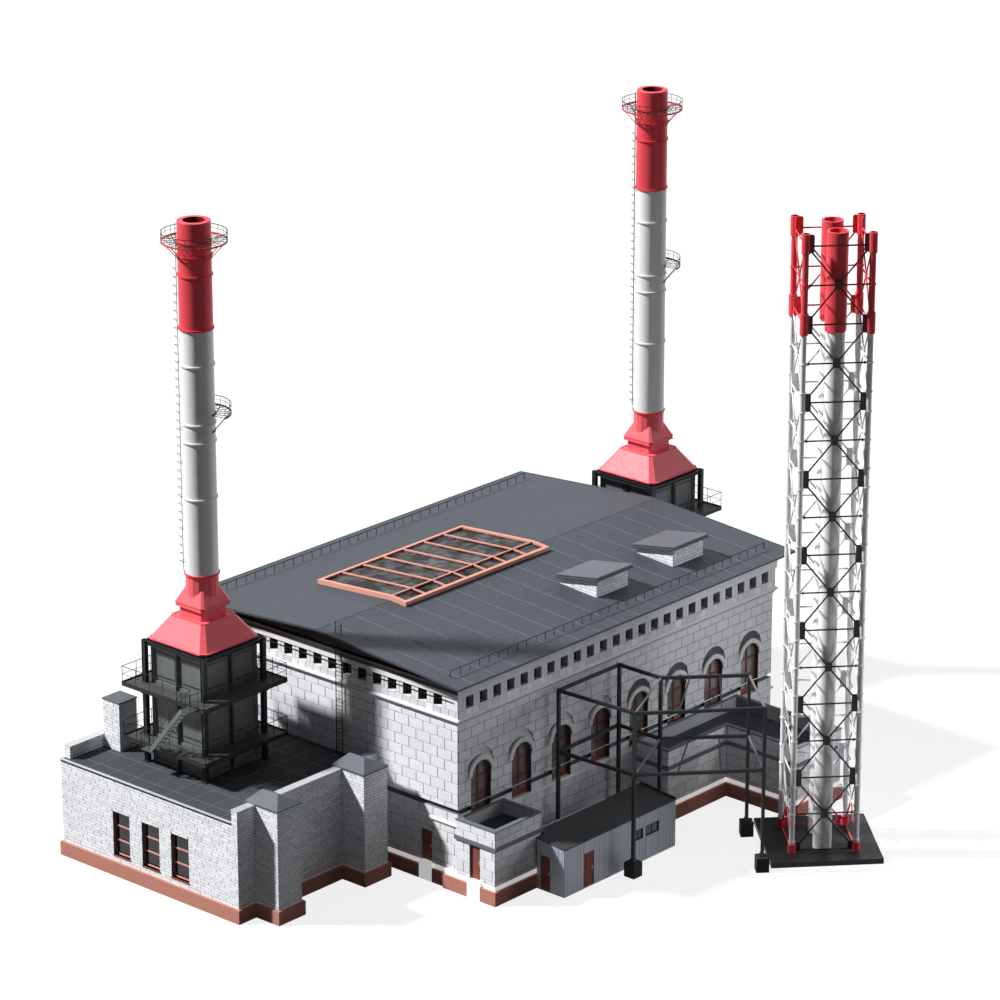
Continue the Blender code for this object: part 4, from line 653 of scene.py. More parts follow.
# ---------------------------------------------------------------- ashlar of the hall
HALF_WINDOW, RING_R, CRESCENT_Z = WINDOW_W / 2, WINDOW_W / 2 + ARCH_RING, WINDOW_SPRING + CRESCENT_RISE
centres = [WINDOW_FIRST + WINDOW_PITCH * i for i in range(WINDOW_COUNT)]


def slot_starts(count, edge, length):
    pitch = (length - 2 * edge - SLOT_W) / (count - 1)
    return [edge + pitch * i for i in range(count)]


FRONT_STARTS = slot_starts(FRONT_SLOTS, FRONT_SLOT_EDGE, HALL_L)
GABLE_STARTS = slot_starts(GABLE_SLOTS, GABLE_SLOT_EDGE, HALL_W)


def arch_outline(centre, radius, low, steps=28):
    curve = arc(centre, WINDOW_SPRING, radius, math.pi, -math.pi, steps)
    return [(centre - radius, low), *curve, (centre + radius, low)]


def hooded_outline(centre, radius, low):
    """Outline over an arch ring and the sunk crescent above it."""
    tip = math.asin(CRESCENT_RISE / 2 / radius)
    reach, rise = radius * math.cos(tip / 2), WINDOW_SPRING + radius * math.sin(tip / 2)
    crown = arc(centre, CRESCENT_Z, radius, -tip, math.pi + 2 * tip, 24)
    return [(centre + radius, low), (centre + reach, rise), *crown, (centre - reach, rise), (centre - radius, low)]


def hall_courses(maker, wall, length, starts, holes, shifts, seed):
    """Courses up to the string course, the sill row with its changing tones, and the blocks between the slots."""
    grid = (BLOCK_H, BLOCK_L, BLOCK_JOINT, BLOCK_OUT, holes)
    ends = (-BLOCK_OUT, length + BLOCK_OUT)
    lay(maker, wall, *ends, FLOOR, GROOVE_LOW, *grid, bed=GROOVE_LOW - 6 * BLOCK_H, shift=shifts[0])
    lay(maker, wall, *ends, GROOVE_HIGH, STRING_Z, *grid, bed=UPPER_BED, shift=shifts[1], seed=seed)
    gaps = [(s, s + SLOT_W, SLOT_Z, SLOT_Z + SLOT_H) for s in starts]
    pitch, foot, joint = starts[1] - starts[0], STRING_Z + STRING_H, 0.010
    edge = FRIEZE_OUT + BLOCK_OUT
    wall.origin += wall.out * FRIEZE_OUT
    lay(maker, wall, -edge, length + edge, foot, SLOT_Z, SLOT_Z - foot, pitch / 2, joint, BLOCK_OUT,
        shift=starts[0] - 0.03, spread=0.20, seed=seed + 2)
    lay(maker, wall, -edge, length + edge, SLOT_Z, HEAD_Z, HEAD_Z - SLOT_Z, pitch, joint, BLOCK_OUT, gaps,
        shift=starts[0] + SLOT_W + (pitch - SLOT_W) / 2, seed=seed + 4)


def long_face(name, wall, spots, starts):
    """Ashlar of one long wall, cut away round its arch rings and crescents."""
    maker = Maker(name, STONE)
    holes = [(c - HALF_WINDOW, c + HALF_WINDOW, WINDOW_SILL, WINDOW_SPRING) for c in spots]
    face, out = wall.origin.y, wall.out.y
    hall_courses(maker, wall, HALL_L, starts, holes, (0.1, 0.025), 2.0)
    cutters = []
    for c in centres:
        shape = Maker("shape")
        depths = sorted((face - out * 0.1, face + out * 0.3))
        shape.prism(hooded_outline(c, RING_R, WINDOW_SPRING - 0.001), "Y", *depths)
        cutters.append(shape.mesh())
    cut(maker.done(), cutters)


long_face("front_ashlar", Wall("south", 0.0, 0.0), centres, FRONT_STARTS)
long_face("back_ashlar", Wall("north", HALL_L, HALL_W), [HALL_L - c for c in centres],
          [HALL_L - s - SLOT_W for s in reversed(FRONT_STARTS)])


def gable_face(name, side, x, y, starts, holes):
    """Ashlar of one gable, with dark sheets of painted shade under its roof edge."""
    maker = Maker(name, STONE, GABLE_SHADE)
    hall_courses(maker, Wall(side, x, y), HALL_W, starts, holes, (0.25, 0.15), 3.0)
    under, half = RIDGE_Z - ROOF_T - 0.004, HALL_W / 2
    planes = ((ROOF_SLOPE, 1.0, under + ROOF_SLOPE * half), (-ROOF_SLOPE, 1.0, under - ROOF_SLOPE * half))
    # Dark blocks of painted shade on the gable triangle, from the cove up to the roof.
    lay(maker, Wall(side, x, y, out=COVE_OUT), -COVE_OUT, HALL_W + COVE_OUT, HEAD_Z + HEAD_H + COVE_H, RIDGE_Z,
        0.6, 1.4, 0.008, 0.006, planes=planes, slot=1, seed=9.0)
    maker.done()


gable_face("west_ashlar", "west", 0.0, HALL_W, [HALL_W - s - SLOT_W for s in reversed(GABLE_STARTS)],
           [(HALL_W - 1.535, HALL_W - 1.11, FLOOR - 1, 1.68), (-1.0, HALL_W - WEST_Y, 0.0, ANNEX_ROOF_Z)])
gable_face("east_ashlar", "east", HALL_L, 0.0, GABLE_STARTS, [(EAST_Y, HALL_W + 1.0, 0.0, ANNEX_ROOF_Z)])


def moulding(maker, section, proud=0.006, gable_slot=0):
    """Stone moulding round the hall, mitred at the corners, in separate lengths."""
    stone_length = 1.2
    for side, x, y, length in (("south", 0, 0, HALL_L), ("east", HALL_L, 0, HALL_W),
                               ("north", HALL_L, HALL_W, HALL_L), ("west", 0, HALL_W, HALL_W)):
        wall = Wall(side, x, y)
        count = round(length / stone_length)
        back = [(section[-1][0] - 0.02, section[-1][1]), (section[0][0] - 0.02, section[0][1])]
        for i in range(count):
            rings = []
            for end, at_corner in ((i, i == 0), (i + 1, i + 1 == count)):
                sign = -1 if end == i else 1
                ring = []
                for k, (out, z) in enumerate(section + back):
                    reach = out + proud if k < len(section) else out
                    ring.append(wall.at(length * end / count + sign * (reach if at_corner else -0.004), z, reach))
                rings.append(ring)
            maker.skin(rings, gable_slot if wall.out.x else 0)


def hall_mouldings():
    """String course, head course, cove under the eaves and the roll in the groove."""
    maker = Maker("hall_mouldings", STONE_TRIM, GABLE_SHADE)
    bulge = ((0.10, 0.12), (0.3, 0.32), (0.6, 0.52), (1.0, 0.66), (1.0, 0.85))
    moulding(maker, [(0.0, STRING_Z - 0.012), *[(STRING_OUT * a, STRING_Z + STRING_H * b) for a, b in bulge],
                     (FRIEZE_OUT + 0.004, STRING_Z + STRING_H)])
    foot = HEAD_Z + HEAD_H
    split = foot + COVE_H * 0.30
    moulding(maker, [(FRIEZE_OUT, HEAD_Z), (HEAD_OUT, HEAD_Z), (HEAD_OUT, split)])
    # On the gables the cove is dark, as painted shade.
    moulding(maker, [(HEAD_OUT, split), (COVE_OUT * 0.53, foot + COVE_H * 0.53),
                     (COVE_OUT * 0.75, foot + COVE_H * 0.80), (COVE_OUT, foot + COVE_H),
                     (COVE_OUT, foot + COVE_H + 0.09)], gable_slot=1)
    roll = arc(0.012, 2.17, 0.055, -math.pi / 2, math.pi, 6)
    moulding(maker, [(0.0, 2.10), *roll, (0.0, 2.243)], 0.002)
    maker.done()


hall_mouldings()


def crescents(where, face, out):
    """Lining of the sunk crescents: the sunk face, grey as painted shade from the fifth window on, and its curved
    soffit.
    """
    maker = Maker(where + "_crescents", STONE_TRIM, SHADE_GREY)
    # From the fifth window on, the sunk face is grey, as painted shade.
    back, steps, first_shaded = face - out * (CRESCENT_D - 0.004), 24, 4
    for window, c in enumerate(centres):
        inner = arc(c, WINDOW_SPRING, RING_R + 0.004, 0.32, math.pi - 0.64, steps)
        crown = [-0.15 + (math.pi + 0.30) * i / steps for i in range(steps + 1)]
        outer = [(c + RING_R * math.cos(a), CRESCENT_Z + (RING_R - 0.002) * math.sin(a)) for a in crown]
        maker.skin([[(a, back, b), (a, back - out * 0.004, b), (d, back - out * 0.004, e), (d, back, e)]
                    for (a, b), (d, e) in zip(inner, outer)], 1 if window >= first_shaded else 0)
        front = face + out * 0.010
        soffit = ((RING_R, back), (RING_R - 0.008, back), (RING_R - 0.008, front), (RING_R, front))
        maker.skin([[(c + r * math.cos(a), y, CRESCENT_Z + r * math.sin(a)) for r, y in soffit] for a in crown])
    maker.done()


def archivolts(where, face, out):
    """Raised rings round the arched windows, with a plain stone sill."""
    maker = Maker(where + "_archivolts", STONE_TRIM)
    for c in centres:
        rings = []
        for (a, b), (d, e) in zip(arch_outline(c, HALF_WINDOW, WINDOW_SPRING, 32)[1:-1],
                                  arch_outline(c, RING_R, WINDOW_SPRING, 32)[1:-1]):
            rings.append([(x, face + out * depth, z) for x, z, depth in (
                (a, b, -0.01), (a, b, ARCH_OUT + 0.004), ((a * 3 + d) / 4, (b * 3 + e) / 4, ARCH_OUT + 0.018),
                (d, e, ARCH_OUT + 0.012), (d, e, -0.01))])
        maker.skin(rings)
        maker.box(c - HALF_WINDOW - 0.06, c + HALF_WINDOW + 0.06, *sorted((face - out * 0.14, face + out * 0.035)),
                  WINDOW_SILL - 0.07, WINDOW_SILL + 0.004)
    maker.done()


def arched_windows(where, face, out):
    """Joinery and panes set back in the reveals, the reveals lined dark brown as painted shade."""
    maker = Maker(where + "_windows", BROWN, HALL_GLASS, SHADE_REVEAL)
    back = face - out * 0.17
    front = back + out * 0.05
    near, far = sorted((back, front))
    stile, head = 0.055, WINDOW_SPRING + HALF_WINDOW - 0.02
    for c in centres:
        outer = arch_outline(c, HALF_WINDOW + 0.01, WINDOW_SILL)
        inner = arch_outline(c, HALF_WINDOW - stile, WINDOW_SILL)
        lining = arch_outline(c, HALF_WINDOW - 0.008, WINDOW_SILL)
        for rim, y0, y1, slot in ((inner, near, far, 0), (lining, front, face, 2)):
            maker.skin([[(a, y0, b), (a, y1, b), (d, y1, e), (d, y0, e)] for (a, b), (d, e) in zip(rim, outer)], slot)
        maker.box(c - 0.035, c + 0.035, near - 0.006, far + 0.006, WINDOW_SILL, head)
        for low, high in ((0.0, 0.20), (0.638, 0.702), (1.228, 1.292)):
            maker.box(c - HALF_WINDOW + 0.02, c + HALF_WINDOW - 0.02, near, far,
                      WINDOW_SILL + low, WINDOW_SILL + high)
        pane = arch_outline(c, HALF_WINDOW - 0.01, WINDOW_SILL + 0.01)
        maker.prism(pane, "Y", *sorted((back + out * 0.018, back + out * 0.026)), slot=1)
    maker.done(("hall_" + where + "_glass",))


for build in (crescents, archivolts, arched_windows):
    build("front", 0.0, -1)
    build("back", HALL_W, 1)


# ---------------------------------------------------------------- slot linings, pipe and box on the hall
def slot_linings():
    """Cheeks inside the slots, darkened as painted shade, with thin bars across the dark panes."""
    maker = Maker("slot_linings", SHADE_GREY, STEEL, SHADE_REVEAL, STONE_TRIM, SHADE_LINING)
    top = SLOT_Z + SLOT_H
    # Cheeks: grey and mid grey on the long walls, dark brown on the gables, all painted shade.
    for side, x, y, starts, cheeks in (
        ("south", 0, 0, FRONT_STARTS, (0, 4)), ("north, from the west", 0, HALL_W, FRONT_STARTS, (0, 4)),
        ("west, from the south", 0, 0, GABLE_STARTS, (2, 2)), ("east", HALL_L, 0, GABLE_STARTS, (2, 2)),
    ):
        wall = Wall(side, x, y)
        for s in starts:
            end, mid = s + SLOT_W, s + SLOT_W / 2
            for u0, u1, v0, v1, d0, d1, slot in (
                (s, s + 0.012, SLOT_Z, top, -0.16, FRIEZE_OUT + 0.004, cheeks[0]),
                (end - 0.012, end, SLOT_Z, top, -0.16, FRIEZE_OUT + 0.004, cheeks[1]),
                (s, end, SLOT_Z, SLOT_Z + 0.012, -0.16, FRIEZE_OUT + 0.012, 3),
                (mid - 0.012, mid + 0.012, SLOT_Z, top, -0.20, -0.17, 1),
                (s, end, SLOT_Z + 0.20, SLOT_Z + 0.225, -0.20, -0.17, 1),
            ):
                plate(maker, wall, u0, u1, v0, v1, d0, d1, slot)
    maker.done()


slot_linings()


def hall_fittings():
    """Thin pipe in front of the arches, cable on the gable, and a meter box on the far gable."""
    maker = Maker("hall_fittings", GALVANISED, BROWN, STEEL)
    pipe_z, cable_z, cable_x = GROOVE_HIGH + 0.045, 6.30, -0.085
    maker.tube((0.20, -0.060, pipe_z), (HALL_L - 0.10, -0.060, pipe_z), 0.014)
    for i in range(17):
        x = 0.30 + i * 0.935
        maker.box(x - 0.012, x + 0.012, -0.075, -0.005, pipe_z - 0.020, pipe_z + 0.020, 2)
    for d0, d1, y0, y1, z0, z1, slot in ((0.01, 0.15, 0.17, 0.48, 2.97, 3.43, 1),
                                         (0.15, 0.168, 0.15, 0.50, 2.95, 3.45, 1),
                                         (0.168, 0.180, 0.44, 0.46, 3.15, 3.25, 2)):
        maker.box(HALL_L + d0, HALL_L + d1, y0, y1, z0, z1, slot)
    maker.tube((HALL_L + 0.06, 0.325, 2.10), (HALL_L + 0.06, 0.325, 2.97), 0.018, 8, 2)
    maker.tube((cable_x, 0.10, cable_z), (cable_x, HALL_W - 0.10, cable_z), 0.010, 6, 2)
    for i in range(8):
        y = 0.60 + i * 1.43
        maker.box(-0.090, -FRIEZE_OUT, y - 0.010, y + 0.010, cable_z - 0.015, cable_z + 0.015, 2)
    maker.done()


hall_fittings()


# ---------------------------------------------------------------- hall roof
def roof_details():
    """Standing seams on the near slope, ridge cap and edge strips."""
    maker = Maker("roof_details", SEAM, ROOFING)
    half, end = HALL_W / 2, HALL_L + OVERHANG_EAST
    seam_pitch, foot = 0.985, -OVERHANG + 0.02
    x = -OVERHANG + 0.72
    while x < end - 0.2:
        top = SKY_Y[0] - 0.01 if SKY_X[0] < x < SKY_X[1] else half
        maker.bar((x, foot, roof_top(foot) + 0.003), (x, top, roof_top(top) + 0.003), 0.014, 0.008)
        x += seam_pitch
    for x0, x1 in ((-OVERHANG, SKY_X[0] - 0.01), (SKY_X[1] + 0.01, end)):
        maker.bar((x0, half, RIDGE_Z - 0.002), (x1, half, RIDGE_Z - 0.002), 0.10, 0.010, 1)
    for x in (-OVERHANG + 0.012, end - 0.012):
        for y in (-OVERHANG + 0.001, HALL_W + OVERHANG - 0.001):
            maker.bar((x, y, roof_top(y) + 0.004), (x, half, RIDGE_Z + 0.004), 0.024, 0.012, 1)
    for y in (-OVERHANG + 0.012, HALL_W + OVERHANG - 0.012):
        maker.bar((-OVERHANG, y, roof_top(y) + 0.004), (end, y, roof_top(y) + 0.004), 0.024, 0.012, 1)
    maker.done()


roof_details()


def eave_guard(name, y, replaced):
    """Low rail over the eave, stayed at both ends."""
    maker = Maker(name, STEEL)
    base, x0, x1 = roof_top(y), 0.02, HALL_L - 0.12
    railing(maker, (x0, y, base - 0.004), (x1, y, base - 0.004), 0.235, 0.435, 0.022, False)
    for x in (x0, x1):
        maker.bar((x, y, base + 0.232), (x, y + 0.10, base + 0.01), 0.012)
    maker.done((replaced,))


eave_guard("front_guard", 0.30, "eave_guard_front")
eave_guard("back_guard", HALL_W - 0.30, "eave_guard_back")


def on_slope(y0, y1, low, high):
    """Outline of a flat strip on one slope, or bent over the ridge."""
    ys = [y0, HALL_W / 2, y1] if y0 < HALL_W / 2 < y1 else [y0, y1]
    return [(y, roof_top(y) + low) for y in ys] + [(y, roof_top(y) + high) for y in reversed(ys)]


def skylight():
    """Salmon curb and bars over the dark panes, with flashings."""
    maker = Maker("skylight_joinery", SALMON, SKY_GLASS, STEEL)
    (x0, x1), (y0, y1), ridge = SKY_X, SKY_Y, HALL_W / 2
    left, right, near, far = x0 + SKY_CURB, x1 - SKY_CURB, y0 + SKY_CURB, y1 - SKY_CURB
    for a, b in ((x0, left), (right, x1)):
        maker.prism(on_slope(y0, y1, 0.001, SKY_H), "X", a, b)
    for a, b in ((y0, near), (far, y1)):
        maker.prism(on_slope(a, b, 0.001, SKY_H), "X", left, right)
    bay = (x1 - x0 - SKY_CURB) / SKY_BAYS
    for i in range(1, SKY_BAYS):
        x = x0 + SKY_CURB / 2 + bay * i
        maker.prism(on_slope(near, far, SKY_H - 0.050, SKY_H - 0.006), "X", x - 0.026, x + 0.026)
    maker.box(left, right, ridge - 0.028, ridge + 0.028, RIDGE_Z + SKY_H - 0.050, RIDGE_Z + SKY_H - 0.004)
    maker.prism(on_slope(near, far, SKY_H - 0.075, SKY_H - 0.062), "X", left, right, 1)
    for a, b in ((y0 - 0.02, y0), (y1, y1 + 0.02)):
        maker.prism(on_slope(a, b, 0.001, 0.03), "X", x0, x1, 2)
    maker.done(("skylight_frame", "skylight_glass"))


skylight()


def vents():
    """Brick vent housings under lean-to sheet caps."""
    maker = Maker("vent_housings", BRICK, BRICK_JOINTS, CAP_SHEET, CAP_EDGE)
    y0, y1 = VENT_Y
    foot, high, low = roof_top(y0), roof_top(y0) + 0.60, roof_top(y1) + 0.22
    fall = (low - high) / (y1 - y0)
    front, back, lap = y0 - 0.13, y1 + 0.10, 0.13
    for k, x0 in enumerate(VENT_X):
        x1 = x0 + VENT_L
        maker.prism(((y0, foot + 0.001), (y1, roof_top(y1) + 0.001), (y1, low), (y0, high)), "X", x0, x1, 1)
        bricks(maker, Wall("south", x0, y0), 0.0, VENT_L, foot + 0.002, high, seed=11.0 + k)
        for side, x in (("west, from the south", x0), ("east", x1)):
            bricks(maker, Wall(side, x, y0), 0.0, y1 - y0, foot, high + 0.05,
                   planes=((ROOF_SLOPE, -1.0, -foot), (-fall, 1.0, high)), seed=13.0 + k)
        for inset, d0, d1, slot in ((0.0, 0.0, 0.030, 3), (0.016, 0.030, 0.095, 2), (0.0, 0.095, 0.130, 2)):
            ends = ((front + inset, d0), (back - inset, d0), (back - inset, d1), (front + inset, d1))
            outline = [(y, high + fall * (y - y0) + d) for y, d in ends]
            maker.prism(outline, "X", x0 - lap + inset, x1 + lap - inset, slot)
    maker.done(("roof_vent_near", "roof_vent_far"))


vents()


def gable_ladder():
    """Thin ladder from the annex roof up past the edge of the hall's roof."""
    maker = Maker("gable_ladder_steel", STEEL)
    x, y, low, top, width = -0.19, 4.87, ANNEX_ROOF_Z + 0.002, 7.76, 0.26
    ladder(maker, (x, y, low), (x, y, top), (0, 1, 0), width, 0.125, 0.022)
    for z in (4.1, 5.1, 6.2):
        for side in (-width / 2, width / 2):
            maker.bar((x, y + side, z), (-FRIEZE_OUT if z > STRING_Z else 0.0, y + side, z), 0.018)
    maker.done(("gable_ladder",))


gable_ladder()


# ---------------------------------------------------------------- porch and wing
CORNER_STEP = 0.0008  # keeps the bands of neighbouring walls out of one plane where they cross


def low_building(name, walls, rims, pockets, seed):
    """Ashlar facing, cornice and coping of a low building, and the tray of its roof: a dark felt floor and grey
    linings of painted shade on the parapets' inner faces.
    """
    maker = Maker(name, STONE, LOW_METAL, FELT, SHADE_LINING)
    cornice, coping = LOW_WALL_TOP + 0.12, LOW_PARAPET_Z - 0.035
    for turn, (wall, length, holes) in enumerate(walls):
        trim = CORNER_STEP * (turn % 2)
        covered = [(-1.0, length + 1.0, 0.0, cornice)]
        for k, (low, high, gaps) in enumerate(((FLOOR, LOW_WALL_TOP, holes), (cornice, coping, covered))):
            lay(maker, wall, -BLOCK_OUT, length + BLOCK_OUT, low, high, BLOCK_H, BLOCK_L, BLOCK_JOINT * 0.8,
                BLOCK_OUT, gaps, bed=UPPER_BED - 7 * BLOCK_H, spread=0.06, seed=seed + k, shift=0.3 * k)
        for d, low, high in ((0.05, LOW_WALL_TOP + 0.002, cornice), (0.025, coping, LOW_PARAPET_Z)):
            for reach, v0, v1 in ((d + 0.004, low + trim, high + 0.002 - trim),
                                  (d * 0.5, low - 0.003 + trim, low + 0.005)):
                reach -= trim
                plate(maker, wall, -reach, length + reach, v0, v1, -0.02 + trim, reach, 1)
        seed += 3
    for rim in rims:
        maker.box(*rim, LOW_PARAPET_Z - 0.01, LOW_PARAPET_Z + 0.006, 1)
    low, high, lining = LOW_ROOF_Z + 0.0005, LOW_PARAPET_Z - 0.02, 0.006
    for x0, x1, y0, y1, sides in pockets:
        maker.box(x0, x1, y0, y1, low, low + lining, 2)
        linings = {"w": (x0, x0 + lining, y0, y1), "e": (x1 - lining, x1, y0, y1),
                   "s": (x0 + lining, x1 - lining, y0, y0 + lining), "n": (x0 + lining, x1 - lining, y1 - lining, y1)}
        # Grey linings on the parapets' inner faces, as painted shade.
        for side in sides:
            maker.box(*linings[side], low + lining, high, 3)
    maker.done()


t, back = LOW_PARAPET_T, -0.001
(x0, x1), y0, (d0, d1) = PORCH_X, PORCH_Y, PORCH_DOOR
low_building(
    "porch_facing",
    ((Wall("west", x0, back), back - y0, [(-d1, -d0, 0.0, LOW_WALL_TOP)]),
     (Wall("south", x0, y0), x1 - x0, ()), (Wall("east", x1, y0), back - y0, ())),
    ((x0, x0 + t, y0, back), (x1 - t, x1, y0, back), (x0 + t, x1 - t, y0, y0 + t)),
    ((x0 + t, x1 - t, y0 + t, -t, "wesn"),), 21.0,
)
(x0, x1, x2), (y1, y2), (d0, d1), gap = WING_X, WING_Y, WING_DOOR, 0.012
low_building(
    "wing_facing",
    ((Wall("west", x0, back), back - y1, ()), (Wall("south", x0, y1), x1 - x0 - gap, ()),
     (Wall("west", x1, y1 - gap), y1 - y2 - gap, ()),
     (Wall("south", x1, y2), x2 - x1, [(d0 - x1, d1 - x1, 0.0, LOW_WALL_TOP)]),
     (Wall("east", x2, y2), back - y2, ())),
    ((x0, x0 + t, y1, back), (x0 + t, x1 + t, y1, y1 + t), (x1, x1 + t, y2, y1),
     (x1 + t, x2 - t, y2, y2 + t), (x2 - t, x2, y2, back)),
    ((x0 + t, x2 - t, y1 + t, -t, "wn"), (x1 + t, x2 - t, y2 + t, y1 + t, "wes")), 41.0,
)


# ---------------------------------------------------------------- shed
def shed_panels():
    """Ribbed sheet panels on the shed, its window frames and roof edges."""
    maker = Maker("shed_cladding", CLADDING, SHED_ROOFING, DARK_GLASS, STEEL, GALVANISED)
    (x0, x1), (y0, y1), (z0, z1) = SHED_X, SHED_Y, SHED_ROOF_Z
    slope = (z1 - z0) / (y1 - y0)
    sill, head = SHED_WINDOW_Z, SHED_WINDOW_Z + SHED_WINDOW_H
    front_holes = [(a - x0, b - x0, sill, head) for a, b in SHED_WINDOWS]
    front_holes.append((SHED_DOOR[0] - x0, SHED_DOOR[1] - x0, 0.0, SHED_HEAD))
    end_hole = [(y1 - SHED_END_DOOR[1], y1 - SHED_END_DOOR[0], 0.0, SHED_HEAD)]
    low, high = z0 - 0.012, z1 - 0.012
    for wall, u0, u1, top, holes, planes in (
        (Wall("south", x0, y0), 0.0, x1 - x0, low, front_holes, ()),
        (Wall("north", x1, y1), 0.0, x1 - 2.14, high, (), ()),
        (Wall("east", x1, y0), 0.0, y1 - y0, 1.80, (), ((-slope, 1.0, low),)),
        (Wall("west", x0, y1), y1 + 1.70, y1 - y0, 1.80, end_hole, ((slope, 1.0, high),)),
    ):
        lay(maker, wall, u0, u1, 0.035, top, 2.0, SHEET_W, 0.010, 0.008, holes, planes, spread=0.05,
            seed=wall.out.x + 2.0 * wall.out.y + 60.0, bevel=0.003, bond=0.0)
        u = u0 + SHEET_W / 2
        while u < u1:
            if not any(h0 - 0.015 < u < h1 + 0.015 for h0, h1, _, _ in holes):
                rib_top = min([top] + [c - a * u for a, b, c in planes]) - 0.01
                plate(maker, wall, u - RIB_HALF, u + RIB_HALF, 0.04, rib_top, 0.006, 0.014)
            u += SHEET_W
    bar = 0.02
    for a, b in SHED_WINDOWS:
        for u0, u1, v0, v1 in ((a, a + bar, sill, head), (b - bar, b, sill, head),
                               (a, b, sill, sill + bar), (a, b, head - bar, head)):
            maker.box(u0, u1, y0 - 0.004, y0 + 0.05, v0, v1, 3)
        maker.box(a + bar, b - bar, y0 + 0.030, y0 + 0.040, sill + bar, head - bar, 2)
        maker.box((a + b) / 2 - 0.008, (a + b) / 2 + 0.008, y0 + 0.015, y0 + 0.045, sill, head, 3)
    maker.box(x0 + 0.40, x1 - 1.75, y1 - 0.025, y1 + 0.020, z1 + 0.013, z1 + 0.030, 4)
    for y in (y0 - 0.02, y1 - 0.005):
        z = z0 + slope * (y - y0)
        maker.box(x0 - 0.02, x1 + 0.02, y, y + 0.03, z - 0.035, z + 0.012, 1)
    for x, rise, end in ((x0 - 0.02, 0.012, -1.70), (x1 - 0.03, 0.060, y1)):
        z = z0 + slope * (end - y0)
        maker.prism([(y0, z0 - 0.03), (end, z - 0.03), (end, z + rise), (y0, z0 + rise)], "X", x, x + 0.045, 1)
    maker.done(("shed_glass",))


shed_panels()


# ---------------------------------------------------------------- annexes
def annex_windows(name, face, out, glass):
    """Near-black panes set back in the openings, with red-brown frames and salmon bars."""
    maker = Maker(name, BROWN, SALMON, DARK_GLASS)
    step = (ANNEX_HEAD - ANNEX_SILL) / 3
    for y0, y1 in ANNEX_WINDOWS:
        for d0, d1, a, b, low, high, slot in (
            (-0.15, -0.11, y0, y0 + 0.04, ANNEX_SILL, ANNEX_HEAD, 0),
            (-0.15, -0.11, y1 - 0.04, y1, ANNEX_SILL, ANNEX_HEAD, 0),
            (-0.15, -0.11, y0, y1, ANNEX_HEAD - 0.04, ANNEX_HEAD, 0),
            (-0.135, -0.128, y0 + 0.02, y1 - 0.02, ANNEX_SILL, ANNEX_HEAD - 0.02, 2),
            (-0.10, 0.03, y0 - 0.03, y1 + 0.03, ANNEX_SILL - 0.04, ANNEX_SILL, 0),
            *[(-0.156, -0.104, y0 + 0.01, y1 - 0.01, z - 0.022, z + 0.022, 1)
              for z in (ANNEX_SILL + 0.02, ANNEX_SILL + step, ANNEX_SILL + 2 * step)],
        ):
            maker.box(*sorted((face + out * d0, face + out * d1)), a, b, low, high, slot)
    maker.done((glass,))


annex_windows("west_annex_windows", WEST_X, -1, "west_annex_glass")
annex_windows("east_annex_windows", EAST_X, 1, "east_annex_glass")


def brick_backing(maker, wall, length):
    """Mortar behind the lowest courses, over the edge of the floor slab."""
    plate(maker, wall, -0.003, length + 0.003, BRICK_FOOT + 0.004, FLOOR + 0.01, -0.003, 0.003, 1)


